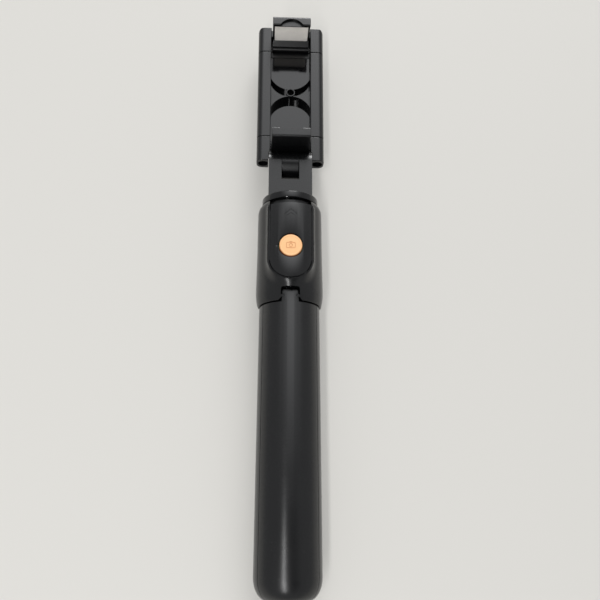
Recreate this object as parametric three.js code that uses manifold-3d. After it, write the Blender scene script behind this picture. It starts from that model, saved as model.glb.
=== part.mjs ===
// A folding selfie stick whose handle splits into a three-legged stand.
// Millimetres. The stick lies along y with its feet at y = 0, x is across it, and z is the height over
// its axis. The exported group lifts it on to the floor, centred, with z = 0 under its lowest point.
import * as THREE from "three";
import { mergeVertices } from "three/addons/utils/BufferGeometryUtils.js";
import Module from "manifold-3d";

const wasm = await Module();
wasm.setup();

// ---------- driving dimensions ----------
const TOTAL_LENGTH = 307.4;
const GAP = 0.3; // running clearance between neighbouring pieces
const FIT = 0.05; // clearance under a piece that sits on another

const LEG_TOP = 140.7;
const LEG_TOP_R = 15.5;
const LEG_FOOT_R = 16.3;
const LEG_INNER_R = 10.9;
const LEG_WALL = 2;
const LEG_SIDE_WALL = 1.8;
const LEG_SPLIT = 0.17; // half of the slit between two legs
const FOOT_ROUND = 11; // length of the rounded foot end
const FOOT_FLAT_R = 9.5;
const PAD_THICK = 1.6;
const HINGE_Y = 143.9;
const HINGE_R = 14.2; // leg hinge pin's distance from the stick's axis
const HINGE_PIN_R = 0.9;
const TAB_HALF = 4.25;
const KNUCKLE_R = 2.9;
const KNUCKLE_CROWN_R = 16.5; // the knuckle's outer face, about the stick's axis

const HEAD_BOTTOM = 141.3;
const HEAD_TOP = 197;
const HEAD_RIM_TOP = 149;
const HEAD_CAVITY_R = 13.4;
const HEAD_BORE_R = 10.6;
const HEAD_FLAT_Z = -16.7; // flat along the head's back, which the stick lies on
const HEAD_PROFILE = [
  [16.2, HEAD_BOTTOM],
  [16.75, 143],
  [17.15, 145.5],
  [17.35, 148.5],
  [17.15, 160],
  [16.95, 175],
  [16.85, 190],
  [16.55, 194.3],
  [14.9, HEAD_TOP],
];
const SHELL_SPLIT = 0.15;

const TUBE_COUNT = 7;
const TUBE_R = 10; // outermost tube
const TUBE_STEP = 1;
const TUBE_WALL = 0.5;
const TUBE_LIP = 0.3; // crimp at a tube's mouth and flare at its foot
const TUBE_BOTTOM = 5.5;
const TUBE_TOP = 196.6;

const REMOTE_HALF = 10.5;
const REMOTE_BOTTOM = 151.9;
const REMOTE_TOP = 192;
const REMOTE_BACK_R = 15.2;
const CROWN_R = 18.8; // curved face, about an axis CROWN_Z over the stick's
const CROWN_Z = 1.2;
const COVER_THICK = 1;
const BUTTON_Y = 168.7;
const BUTTON_R = 6;
const LIGHT_X = -7.1;
const COIN_CELL_Y = 182.6;

const COLLAR_R = 14.8;
const COLLAR_BOTTOM = 197.3;
const COLLAR_TOP = 201;
const YOKE_BOTTOM = 201.3;
const YOKE_HALF = 11.6;
const YOKE_SLOT = 4.75;
const YOKE_SLOT_FLOOR = 210.9;
const TILT_Y = 222.3;
const TILT_R = 7.3;
const TILT_BOLT_R = 2;

const CLAMP_HALF = 18.4;
const RAIL_IN = 11;
const RAIL_FRONT = 4;
const RAIL_BACK = -5.6;
const RAIL_X = (CLAMP_HALF + RAIL_IN) / 2;
const RAIL_BORE_R = 2.5;
const RAIL_BORE_Z = -0.8;
const CLAMP_BOTTOM = 223.9;
const CLAMP_SEAM_LOW = 238.1;
const CLAMP_SEAM_HIGH = 291.9;
const CLAMP_FLOOR_Z = -2.3; // raised floor that the jaws fold down over
const BRACKET_FLOOR_Z = -3.4;
const CLAMP_RECESS_Z = -5.9; // deep floor of the crescent between the tongue and the disc
const CLAMP_BACK_Z = -7.3;
const TONGUE_END = 271.2;
const DISC_END = 260.7;
const BAY_ARC_R = 12.1;
const WEB_Z = 1;
const WEB_LOW_END = 264.9; // top of the round opening over the disc
const WEB_HIGH_END = 263.5; // foot of the round opening under the tongue
const WEB_HIGH_R = 14;
const WEB_WALL = 0.5;
const WEB_RING_Y = 267.1;
const WEB_RING_R = 2.4;
const WEB_RING_HOLE_R = 1.95;

const JAW_HALF = 10.4;
const JAW_HINGE_Z = -1.6;
const JAW_HINGE_LOW_Y = 234.8;
const JAW_HINGE_HIGH_Y = 297.2;
const JAW_BACK = RAIL_FRONT - JAW_HINGE_Z; // hinge to outer face, so that a folded jaw lies flush
const JAW_TIP = 22.1; // hinge to tip
const JAW_PLATE = 2.4;
const JAW_LIP_HIGH = 2.6;
const JAW_LIP_OUT = 3;
const JAW_SCALLOP_R = 7.2;
const JAW_SCALLOP_DEEP = 1.4; // how far the scallop reaches down the lip
const JAW_BARREL_R = 1.3;
const JAW_PIN_R = 0.6;

const ROD_R = 1.2;
const SPRING_COIL_R = 1.95;
const SPRING_WIRE_R = 0.25;
const SPRING_TURNS = 11;

// ---------- materials ----------
function material(color, roughness, metalness = 0) {
  return new THREE.MeshStandardMaterial({ color, roughness, metalness });
}
const MAT = {
  soft_black: material(0x2b2c2e, 0.5),
  gloss_black: material(0x131416, 0.2),
  rubber: material(0x1c1c1d, 0.85),
  jaw_pad: material(0xa9abb0, 0.7),
  peach: material(0xf6c897, 0.45),
  steel: material(0xb9bcc0, 0.3, 1),
  tube: material(0x3a3c40, 0.3, 1),
  board: material(0x1e6b3a, 0.6),
  lens: material(0xe8edf2, 0.2),
};

// ---------- solids ----------
// A closed three.js geometry as a solid, turned the right way out.
function solid(geometry) {
  const g = geometry.index ? geometry.toNonIndexed() : geometry.clone();
  const plain = new THREE.BufferGeometry();
  plain.setAttribute("position", g.getAttribute("position"));
  const merged = mergeVertices(plain, 1e-4);
  const vertProperties = merged.attributes.position.array;
  const kept = [];
  const index = merged.index.array;
  let volume = 0;
  const corners = [new THREE.Vector3(), new THREE.Vector3(), new THREE.Vector3()];
  for (let i = 0; i < index.length; i += 3) {
    const [a, b, c] = [index[i], index[i + 1], index[i + 2]];
    if (a === b || b === c || c === a) continue;
    kept.push(a, b, c);
    [a, b, c].forEach((v, k) => corners[k].fromArray(vertProperties, 3 * v));
    volume += corners[0].dot(corners[1].cross(corners[2]));
  }
  if (volume < 0) kept.reverse();
  const mesh = new wasm.Mesh({ numProp: 3, vertProperties, triVerts: new Uint32Array(kept) });
  return new wasm.Manifold(mesh);
}

function join(...solids) {
  return solids.reduce((whole, piece) => whole.add(piece));
}

function cut(whole, ...tools) {
  return tools.reduce((rest, tool) => rest.subtract(tool), whole);
}

// A box from its low and high limits on each axis.
function block([x0, x1], [y0, y1], [z0, z1]) {
  const g = new THREE.BoxGeometry(x1 - x0, y1 - y0, z1 - z0);
  g.translate((x0 + x1) / 2, (y0 + y1) / 2, (z0 + z1) / 2);
  return solid(g);
}

// A solid of revolution about the stick's axis, from [radius, y] points that start and end on the axis.
function turned(points, segments = 48) {
  return solid(new THREE.LatheGeometry(points.map(([r, y]) => new THREE.Vector2(r, y)), segments));
}

function rod(radius, length, segments) {
  return new THREE.CylinderGeometry(radius, radius, length, segments);
}

// Round bars along each axis, from their centre line and their two ends.
function barY(radius, [y0, y1], [x, z] = [0, 0], segments = 24) {
  return solid(rod(radius, y1 - y0, segments).translate(x, (y0 + y1) / 2, z));
}

function barX(radius, [x0, x1], [y, z], segments = 24) {
  return solid(rod(radius, x1 - x0, segments).rotateZ(Math.PI / 2).translate((x0 + x1) / 2, y, z));
}

function barZ(radius, [z0, z1], [x, y], segments = 24) {
  return solid(rod(radius, z1 - z0, segments).rotateX(Math.PI / 2).translate(x, y, (z0 + z1) / 2));
}

function extrudeZ(shape, [z0, z1], curveSegments = 10) {
  const g = new THREE.ExtrudeGeometry(shape, { depth: z1 - z0, bevelEnabled: false, curveSegments });
  return solid(g.translate(0, 0, z0));
}

// A section drawn in x and z, run along the stick.
function extrudeY(shape, [y0, y1], curveSegments = 8) {
  const g = new THREE.ExtrudeGeometry(shape, { depth: y1 - y0, bevelEnabled: false, curveSegments });
  return solid(g.rotateX(Math.PI / 2).translate(0, y1, 0));
}

// A profile drawn in y and z, run across the stick.
function extrudeX(points, [x0, x1]) {
  const shape = new THREE.Shape(points.map(([y, z]) => new THREE.Vector2(y, z)));
  const g = new THREE.ExtrudeGeometry(shape, { depth: x1 - x0, bevelEnabled: false });
  const turn = new THREE.Matrix4().makeBasis(
    new THREE.Vector3(0, 1, 0),
    new THREE.Vector3(0, 0, 1),
    new THREE.Vector3(1, 0, 0),
  );
  return solid(g.applyMatrix4(turn).translate(x0, 0, 0));
}

function mirrored(piece) {
  return piece.mirror([1, 0, 0]);
}

function bothSides(piece) {
  return join(piece, mirrored(piece));
}

const object = new THREE.Group();

// Adds a solid to the object as a named mesh.
function add(name, piece, mat, turn = 0) {
  const made = piece.getMesh();
  const g = new THREE.BufferGeometry();
  const count = made.vertProperties.length / made.numProp;
  const position = new Float32Array(count * 3);
  for (let i = 0; i < count; i++) {
    position.set(made.vertProperties.subarray(i * made.numProp, i * made.numProp + 3), i * 3);
  }
  g.setAttribute("position", new THREE.BufferAttribute(position, 3));
  g.setIndex(new THREE.BufferAttribute(made.triVerts, 1));
  g.computeVertexNormals();
  const mesh = new THREE.Mesh(g, mat);
  mesh.name = name;
  mesh.rotation.y = turn;
  object.add(mesh);
}

// ---------- handle: three leg shells that close round the tubes ----------
// A prism over a third of the circle, facing +z, with both sides moved in by inset.
function wedge(inset, [y0, y1]) {
  const reach = 40;
  const apex = inset / Math.sin(Math.PI / 3);
  const side = new THREE.Vector2(Math.sin(Math.PI / 3), Math.cos(Math.PI / 3)).multiplyScalar(reach);
  const shape = new THREE.Shape();
  shape.moveTo(0, apex);
  shape.lineTo(side.x, apex + side.y);
  shape.lineTo(side.x, reach);
  shape.lineTo(-side.x, reach);
  shape.lineTo(-side.x, apex + side.y);
  return extrudeY(shape, [y0, y1]);
}

function legRadius(y) {
  return LEG_FOOT_R + ((LEG_TOP_R - LEG_FOOT_R) * (y - FOOT_ROUND)) / (LEG_TOP - FOOT_ROUND);
}

function makeLeg() {
  const floor = 4.2;
  const end = 0.6; // the foot pads stand out by this much
  const foot = [];
  for (let i = 0; i <= 6; i++) {
    const a = (i / 6) * (Math.PI / 2);
    const r = FOOT_FLAT_R + (LEG_FOOT_R - FOOT_FLAT_R) * Math.sin(a);
    foot.push([r, FOOT_ROUND - (FOOT_ROUND - end) * Math.cos(a)]);
  }
  const outside = [[0, end], ...foot, [LEG_TOP_R, LEG_TOP]];
  const inside = [[LEG_INNER_R, LEG_TOP], [LEG_INNER_R, floor], [0, floor]];
  const shell = turned([...outside, ...inside]).intersect(wedge(LEG_SPLIT, [-1, LEG_TOP + 1]));
  const bays = [[12, 46], [48, 92], [94, 131]].map(([y0, y1]) => {
    const [low, high] = [legRadius(y0) - LEG_WALL, legRadius(y1) - LEG_WALL];
    const hollow = turned([[0, y0], [low, y0], [high, y1], [0, y1]]);
    return hollow.intersect(wedge(LEG_SIDE_WALL, [0, LEG_TOP]));
  });
  const tabEnds = [LEG_TOP - 4, HINGE_Y];
  const knuckle = barX(KNUCKLE_R, [-TAB_HALF, TAB_HALF], [HINGE_Y, HINGE_R])
    .intersect(barY(KNUCKLE_CROWN_R, [130, 150], [0, 0], 48));
  const neck = block([-TAB_HALF, TAB_HALF], tabEnds, [HINGE_R - KNUCKLE_R, LEG_TOP_R])
    .intersect(barY(LEG_TOP_R, [130, 150], [0, 0], 48));
  const tab = join(knuckle, neck);
  const pinHole = barX(HINGE_PIN_R + GAP, [-9, 9], [HINGE_Y, HINGE_R], 16);
  return cut(join(cut(shell, ...bays), tab), pinHole, footSector(PAD_THICK + GAP, 0));
}

// The sector of the flat foot end that a rubber pad fills.
function footSector(height, inset) {
  const disc = barY(FOOT_FLAT_R - 0.9 - inset, [0, height], [0, 0], 48);
  return disc.intersect(wedge(1 + inset, [-1, 5]));
}

const LEG_TURNS = { front: 0, right: (2 * Math.PI) / 3, left: (-2 * Math.PI) / 3 };
const PIN_HALF = 5.9;
const legPin = barX(HINGE_PIN_R, [-PIN_HALF, PIN_HALF], [HINGE_Y, HINGE_R], 16);
for (const [side, turn] of Object.entries(LEG_TURNS)) {
  add("leg_" + side, makeLeg(), MAT.soft_black, turn);
  add("foot_pad_" + side, footSector(PAD_THICK, GAP), MAT.rubber, turn);
  add("leg_pin_" + side, legPin, MAT.steel, turn);
}

// ---------- head: two shells round the pole, with the remote's bay in the front one ----------
function turnAboutY(piece, angle) {
  return piece.rotate([0, (angle * 180) / Math.PI, 0]);
}

// The cut-outs for one leg's tab and its hinge pin, facing +z.
function hingeCuts() {
  const half = TAB_HALF + 0.5;
  const top = 147.8;
  const round = 1.2;
  const arch = new THREE.Shape();
  arch.moveTo(-half, HEAD_BOTTOM - 1);
  arch.lineTo(half, HEAD_BOTTOM - 1);
  arch.lineTo(half, top - round);
  arch.quadraticCurveTo(half, top, half - round, top);
  arch.lineTo(-half + round, top);
  arch.quadraticCurveTo(-half, top, -half, top - round);
  const notch = extrudeZ(arch, [9, 20], 4);
  const seat = HINGE_PIN_R + GAP;
  const groove = join(
    barX(seat, [-PIN_HALF - GAP, PIN_HALF + GAP], [HINGE_Y, HINGE_R], 16),
    block([-PIN_HALF - GAP, PIN_HALF + GAP], [HINGE_Y, HEAD_RIM_TOP + 1], [HINGE_R - seat, HINGE_R + seat]),
  );
  return join(notch, groove);
}

// An outline with parallel sides and a round lower end, centred under the remote.
function baySection(half, top) {
  const centre = REMOTE_BOTTOM + REMOTE_HALF;
  const shape = new THREE.Shape();
  shape.moveTo(half, top);
  shape.lineTo(-half, top);
  shape.lineTo(-half, centre);
  shape.absarc(0, centre, half, Math.PI, 2 * Math.PI, false);
  return shape;
}

// Everything under the remote's curved face, moved in by depth.
function underCrown(depth) {
  return barY(CROWN_R - depth, [REMOTE_BOTTOM - 8, HEAD_TOP + 8], [0, CROWN_Z], 64);
}

function outside(radius) {
  return turned([[0, 100], [radius, 100], [radius, 220], [0, 220]]);
}

function makeHead() {
  const body = turned([[0, HEAD_BOTTOM], ...HEAD_PROFILE, [0, HEAD_TOP]]);
  const cavity = turned([
    [0, HEAD_BOTTOM - 1],
    [HEAD_BORE_R, HEAD_BOTTOM - 1],
    [HEAD_BORE_R, HEAD_RIM_TOP],
    [HEAD_CAVITY_R, HEAD_RIM_TOP],
    [HEAD_CAVITY_R, HEAD_TOP - 2],
    [HEAD_BORE_R, HEAD_TOP - 2],
    [HEAD_BORE_R, HEAD_TOP + 1],
    [0, HEAD_TOP + 1],
  ]);
  const bulgeTop = 193.2;
  const bulge = extrudeZ(baySection(12.9, bulgeTop), [8, 22], 12).intersect(underCrown(0));
  const bayGap = 0.35;
  const bay = cut(
    extrudeZ(baySection(REMOTE_HALF + bayGap, HEAD_TOP + 5), [5, 24], 12),
    outside(REMOTE_BACK_R - bayGap),
  );
  const groove = block([REMOTE_HALF, 11.5], [162.2, HEAD_TOP + 5], [12.5, 14.1]);
  const hinges = Object.values(LEG_TURNS).map((turn) => turnAboutY(hingeCuts(), turn));
  const whole = cut(join(body, bulge), cavity, bay, bothSides(groove), ...hinges);
  const flat = block([-20, 20], [100, 220], [-40, HEAD_FLAT_Z]);
  return cut(whole, flat);
}

const SCREW_X = 14.95;
const SCREW_ROWS = { lower: 157, upper: 189 };

function screwPlaces() {
  const places = [];
  for (const [row, y] of Object.entries(SCREW_ROWS)) {
    places.push(["right_" + row, SCREW_X, y], ["left_" + row, -SCREW_X, y]);
  }
  return places;
}

const head = makeHead();
const screwHoles = screwPlaces().map(([, x, y]) =>
  join(barZ(1.1, [-9, 4], [x, y], 16), barZ(1.7, [-12, -4.2], [x, y], 16)),
);
const frontHalf = block([-30, 30], [100, 220], [SHELL_SPLIT, 40]);
const rearHalf = block([-30, 30], [100, 220], [-40, -SHELL_SPLIT]);
add("head_front_shell", cut(head.intersect(frontHalf), ...screwHoles), MAT.soft_black);
add("head_rear_shell", cut(head.intersect(rearHalf), ...screwHoles), MAT.soft_black);
for (const [name, x, y] of screwPlaces()) {
  const screw = join(barZ(0.8, [-5, 3.5], [x, y], 12), barZ(1.4, [-6.2, -4.6], [x, y], 16));
  add("head_screw_" + name, screw, MAT.steel);
}
const socket = turned([[0, 149.3], [13.1, 149.3], [13.1, 161], [12, 162.5], [0, 162.5]]);
add("tube_socket", cut(socket, barY(TUBE_R + GAP, [140, 170], [0, 0], 48)), MAT.soft_black);

// ---------- telescopic pole ----------
function makeTube(k) {
  const r = TUBE_R - k * TUBE_STEP;
  const bottom = TUBE_BOTTOM + k;
  const flare = k > 0 ? TUBE_LIP : 0;
  const crimp = k < TUBE_COUNT - 1 ? TUBE_LIP : 0;
  const bore = r - TUBE_WALL;
  const skin = turned([
    [0, bottom],
    [r + flare, bottom],
    [r + flare, bottom + 6],
    [r, bottom + 6.5],
    [r, TUBE_TOP],
    [0, TUBE_TOP],
  ], 24);
  const hollow = turned([
    [0, bottom - 1],
    [bore, bottom - 1],
    [bore, TUBE_TOP - 2.5],
    [bore - crimp, TUBE_TOP - 2],
    [bore - crimp, TUBE_TOP + 1],
    [0, TUBE_TOP + 1],
  ], 24);
  return cut(skin, hollow);
}

for (let k = 0; k < TUBE_COUNT; k++) add("tube_" + (k + 1), makeTube(k), MAT.tube);

// ---------- remote ----------
function remoteBlank(half) {
  return extrudeZ(baySection(half, REMOTE_TOP), [5, 24], 12);
}

function makeRemoteCover() {
  const skin = cut(remoteBlank(REMOTE_HALF).intersect(underCrown(0)), underCrown(COVER_THICK));
  const buttonHole = barZ(BUTTON_R + 0.35, [10, 24], [0, BUTTON_Y], 48);
  const lightHole = barZ(0.8, [10, 24], [LIGHT_X, BUTTON_Y], 12);
  return cut(skin, buttonHole, lightHole);
}

function makeRemoteCase() {
  const wall = 1.2;
  const blank = remoteBlank(REMOTE_HALF).intersect(underCrown(COVER_THICK + GAP));
  const body = cut(blank, outside(REMOTE_BACK_R));
  const inner = extrudeZ(baySection(REMOTE_HALF - wall, REMOTE_TOP - wall), [5, 24], 12);
  const room = cut(inner, outside(REMOTE_BACK_R + 0.7));
  const tongue = block([REMOTE_HALF - 0.2, 11.2], [162.6, 190], [12.8, 13.8]);
  return join(cut(body, room), bothSides(tongue));
}

function makeButton() {
  const ball = new THREE.SphereGeometry(60, 64, 64).rotateX(Math.PI / 2);
  const dome = ball.translate(0, BUTTON_Y, 20.2 - 60);
  const cap = barZ(BUTTON_R, [17.6, 21], [0, BUTTON_Y], 48).intersect(solid(dome));
  const lugs = block([-1.5, 1.5], [BUTTON_Y - 7.2, BUTTON_Y + 7.2], [17.9, 18.5]);
  return join(cap, lugs);
}

add("remote_cover", makeRemoteCover(), MAT.soft_black);
add("remote_case", makeRemoteCase(), MAT.soft_black);
add("shutter_button", makeButton(), MAT.peach);
add("circuit_board", block([-7.8, 7.8], [158.5, 174.3], [16.2, 16.7]), MAT.board);
add("dome_switch", barZ(2, [16.7 + FIT, 17.05], [0, BUTTON_Y]), MAT.steel);
add("coin_cell", barZ(6.25, [16, 17.6], [0, COIN_CELL_Y], 32), MAT.steel);
add("light_pipe", barZ(0.5, [16.7 + FIT, 18.45], [LIGHT_X, BUTTON_Y], 12), MAT.lens);

// ---------- swivel and tilt ----------
const SWIVEL_SCREW_R = 1.25;
const SWIVEL_HEAD = [207, 209];
const collar = turned([
  [0, 186],
  [3.1, 186],
  [3.1, COLLAR_BOTTOM],
  [COLLAR_R - 0.5, COLLAR_BOTTOM],
  [COLLAR_R, COLLAR_BOTTOM + 0.5],
  [COLLAR_R, COLLAR_TOP - 0.5],
  [COLLAR_R - 0.5, COLLAR_TOP],
  [0, COLLAR_TOP],
]);
add("swivel_collar", cut(collar, barY(SWIVEL_SCREW_R + GAP, [180, 205])), MAT.gloss_black);
const washer = barY(9, [YOKE_BOTTOM, YOKE_BOTTOM + 0.7], [0, 0], 32);
add("swivel_washer", cut(washer, barY(SWIVEL_SCREW_R + GAP, [180, 205])), MAT.steel);
const swivelScrew = join(barY(SWIVEL_SCREW_R, [190, SWIVEL_HEAD[1]]), barY(2.6, SWIVEL_HEAD));
add("swivel_screw", swivelScrew, MAT.steel);

function makeYoke() {
  const round = 2;
  const outline = new THREE.Shape();
  const top = TILT_Y + TILT_R;
  outline.moveTo(-YOKE_HALF, YOKE_BOTTOM);
  outline.lineTo(YOKE_HALF, YOKE_BOTTOM);
  outline.lineTo(YOKE_HALF, top - round);
  outline.quadraticCurveTo(YOKE_HALF, top, YOKE_HALF - round, top);
  outline.lineTo(-YOKE_HALF + round, top);
  outline.quadraticCurveTo(-YOKE_HALF, top, -YOKE_HALF, top - round);
  const front = extrudeZ(outline, [-TILT_R, TILT_R], 5);
  const side = join(
    block([-20, 20], [YOKE_BOTTOM - 1, TILT_Y], [-TILT_R, TILT_R]),
    barX(TILT_R, [-20, 20], [TILT_Y, 0], 48),
  );
  const slot = block([-YOKE_SLOT, YOKE_SLOT], [YOKE_SLOT_FLOOR, top + 5], [-20, 20]);
  const pocket = barY(9 + GAP, [YOKE_BOTTOM - 2, YOKE_BOTTOM + 1], [0, 0], 32);
  const bore = barY(SWIVEL_SCREW_R + GAP, [195, 215]);
  const screwSeat = barY(2.9, [SWIVEL_HEAD[0] - GAP, 215]);
  const boltHole = barX(TILT_BOLT_R + GAP, [-20, 20], [TILT_Y, 0]);
  const headSeat = barX(3.7 + GAP, [YOKE_HALF - 2.8, 20], [TILT_Y, 0]);
  const nutSeat = barX(3.4 + GAP, [-20, -YOKE_HALF + 2.8], [TILT_Y, 0], 6);
  return cut(front.intersect(side), slot, pocket, bore, screwSeat, boltHole, headSeat, nutSeat);
}

add("yoke", makeYoke(), MAT.soft_black);
const boltHead = barX(3.7, [YOKE_HALF - 2.5, YOKE_HALF - 0.3], [TILT_Y, 0]);
const boltSocket = barX(1.5, [YOKE_HALF - 1.5, YOKE_HALF], [TILT_Y, 0], 6);
const boltShank = barX(TILT_BOLT_R, [-YOKE_HALF + 0.3, YOKE_HALF - 1], [TILT_Y, 0]);
add("tilt_bolt", cut(join(boltHead, boltShank), boltSocket), MAT.steel);
const nut = barX(3.4, [-YOKE_HALF + 0.4, -YOKE_HALF + 2.5], [TILT_Y, 0], 6);
add("tilt_nut", cut(nut, barX(TILT_BOLT_R + GAP, [-20, 0], [TILT_Y, 0])), MAT.steel);

// ---------- phone clamp ----------
// The section of one rail: flat inside, round outside.
function railSection() {
  const round = 3;
  const ease = 0.5;
  const shape = new THREE.Shape();
  shape.moveTo(RAIL_IN, RAIL_BACK + ease);
  shape.lineTo(RAIL_IN, RAIL_FRONT - ease);
  shape.lineTo(RAIL_IN + ease, RAIL_FRONT);
  shape.lineTo(CLAMP_HALF - round, RAIL_FRONT);
  shape.quadraticCurveTo(CLAMP_HALF, RAIL_FRONT, CLAMP_HALF, RAIL_FRONT - round);
  shape.lineTo(CLAMP_HALF, RAIL_BACK + round);
  shape.quadraticCurveTo(CLAMP_HALF, RAIL_BACK, CLAMP_HALF - round, RAIL_BACK);
  shape.lineTo(RAIL_IN + ease, RAIL_BACK);
  return shape;
}

function rails([y0, y1]) {
  return bothSides(extrudeY(railSection(), [y0, y1], 5));
}

function bores(radius, [y0, y1]) {
  return bothSides(barY(radius, [y0, y1], [RAIL_X, RAIL_BORE_Z]));
}

// The fork's sweep as the clamp tilts, which the lower bracket keeps clear of.
function forkRoom() {
  const half = YOKE_HALF + 0.4;
  const sweep = barX(TILT_R + 0.4, [-half, half], [TILT_Y, 0], 48);
  const behind = block([-half, half], [TILT_Y - 2, TILT_Y + TILT_R + 0.4], [-20, 0]);
  return join(sweep, behind);
}

function makeLowerBracket() {
  const seam = CLAMP_SEAM_LOW;
  const floorStart = TILT_Y + TILT_R + 0.5;
  const floor = block([-RAIL_IN - 1, RAIL_IN + 1], [floorStart, seam], [-TILT_R, BRACKET_FLOOR_Z]);
  const disc = block([-RAIL_IN - 1, RAIL_IN + 1], [JAW_HINGE_LOW_Y + 2, seam], [-4, CLAMP_FLOOR_Z]);
  const half = YOKE_SLOT - 0.35;
  const knuckle = barX(TILT_R, [-half, half], [TILT_Y, 0], 48);
  const neck = block([-half, half], [TILT_Y, floorStart + 3], [-TILT_R, BRACKET_FLOOR_Z]);
  const body = cut(join(rails([CLAMP_BOTTOM, seam]), floor, disc), forkRoom());
  return cut(
    join(body, knuckle, neck),
    bores(RAIL_BORE_R, [220, 240]),
    barX(TILT_BOLT_R + GAP, [-9, 9], [TILT_Y, 0]),
    jawPinHole(JAW_HINGE_LOW_Y),
    ...bracketScrewHoles(),
  );
}

function jawPinHole(y) {
  return barX(JAW_PIN_R + 0.1, [-12.6, 12.6], [y, JAW_HINGE_Z], 12);
}

// Screws that run up from the lower bracket's floor into the clamp body.
const BRACKET_SCREW_X = 8.6;
const BRACKET_SCREW_Z = -5.5;

function bracketScrewHoles() {
  return [1, -1].map((s) =>
    join(
      barY(0.95, [220, 245], [s * BRACKET_SCREW_X, BRACKET_SCREW_Z], 12),
      barY(1.6, [220, 232.6], [s * BRACKET_SCREW_X, BRACKET_SCREW_Z], 16),
    ),
  );
}

// A plate across the channel from y0 to a round end. Direction 1 points it up the stick and -1 down.
function arcPlate(half, y0, end, direction, [z0, z1], radius = BAY_ARC_R) {
  const centre = end - direction * radius;
  const drop = Math.sqrt(radius ** 2 - half ** 2);
  const spread = Math.asin(half / radius);
  const shape = new THREE.Shape();
  shape.moveTo(-half, y0);
  shape.lineTo(-half, centre + direction * drop);
  const mid = (direction * Math.PI) / 2;
  shape.absarc(0, centre, radius, mid + direction * spread, mid - direction * spread, direction > 0);
  shape.lineTo(half, y0);
  return extrudeZ(shape, [z0, z1], 16);
}

function makeClampBody() {
  const y0 = CLAMP_SEAM_LOW + GAP;
  const y1 = CLAMP_SEAM_HIGH - GAP;
  const half = RAIL_IN + 0.5;
  const base = CLAMP_RECESS_Z - 0.5;
  const tray = cut(
    block([-RAIL_IN - 1.5, RAIL_IN + 1.5], [y0, y1], [CLAMP_BACK_Z, RAIL_BACK + 1]),
    block([-RAIL_IN, RAIL_IN], [y0 - 1, y1 + 1], [CLAMP_RECESS_Z, 0]),
  );
  const tongue = arcPlate(half, y1, TONGUE_END, -1, [base, CLAMP_FLOOR_Z]);
  const disc = arcPlate(half, y0, DISC_END, 1, [base, CLAMP_FLOOR_Z]);
  const webBlank = block([-half, half], [255, 279], [base, WEB_Z]);
  const lowRim = arcPlate(half, 250, WEB_LOW_END, 1, [-20, 20]);
  const highRim = arcPlate(half, 290, WEB_HIGH_END, -1, [-20, 20], WEB_HIGH_R);
  const wallBlank = arcPlate(half, 255, WEB_LOW_END + WEB_WALL, 1, [base, WEB_Z], BAY_ARC_R + WEB_WALL);
  const web = cut(join(cut(webBlank, highRim), wallBlank), lowRim);
  const ring = barZ(WEB_RING_R, [base, WEB_Z + 0.5], [0, WEB_RING_Y]);
  const whole = join(rails([y0, y1]), tray, tongue, disc, web, ring);
  const shoulder = y1 - 3;
  const ringHole = barZ(WEB_RING_HOLE_R, [CLAMP_RECESS_Z + 1, 10], [0, WEB_RING_Y]);
  return cut(
    whole,
    bores(RAIL_BORE_R, [y0 - 1, shoulder]),
    bores(ROD_R + GAP, [shoulder - 1, y1 + 1]),
    ringHole,
    ...bracketScrewHoles(),
  );
}

function makeTopBracket() {
  const seam = CLAMP_SEAM_HIGH;
  const round = 2.3;
  const corner = new THREE.Shape();
  corner.moveTo(-CLAMP_HALF - 1, seam - 1);
  corner.lineTo(CLAMP_HALF + 1, seam - 1);
  corner.lineTo(CLAMP_HALF, TOTAL_LENGTH - round);
  corner.quadraticCurveTo(CLAMP_HALF, TOTAL_LENGTH, CLAMP_HALF - round, TOTAL_LENGTH);
  corner.lineTo(-CLAMP_HALF + round, TOTAL_LENGTH);
  corner.quadraticCurveTo(-CLAMP_HALF, TOTAL_LENGTH, -CLAMP_HALF, TOTAL_LENGTH - round);
  const ends = rails([seam, TOTAL_LENGTH]).intersect(extrudeZ(corner, [-20, 20], 5));
  const half = RAIL_IN + 0.5;
  const end = TOTAL_LENGTH - 0.8;
  const floor = block([-half, half], [seam, end], [RAIL_BACK, BRACKET_FLOOR_Z]);
  const sill = block([-half, half], [seam, seam + 1.3], [-4, CLAMP_FLOOR_Z]);
  const arms = bothSides(block([RAIL_IN - 0.8, half], [seam, seam + 3], [-4, CLAMP_FLOOR_Z]));
  const stopStart = JAW_HINGE_HIGH_Y + JAW_BACK + 0.4;
  const stop = block([-half, half], [stopStart, end], [-4, 1.5]);
  return cut(
    join(ends, floor, sill, arms, stop),
    bores(ROD_R + GAP, [seam - 1, 303.5]),
    jawPinHole(JAW_HINGE_HIGH_Y),
  );
}

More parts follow.
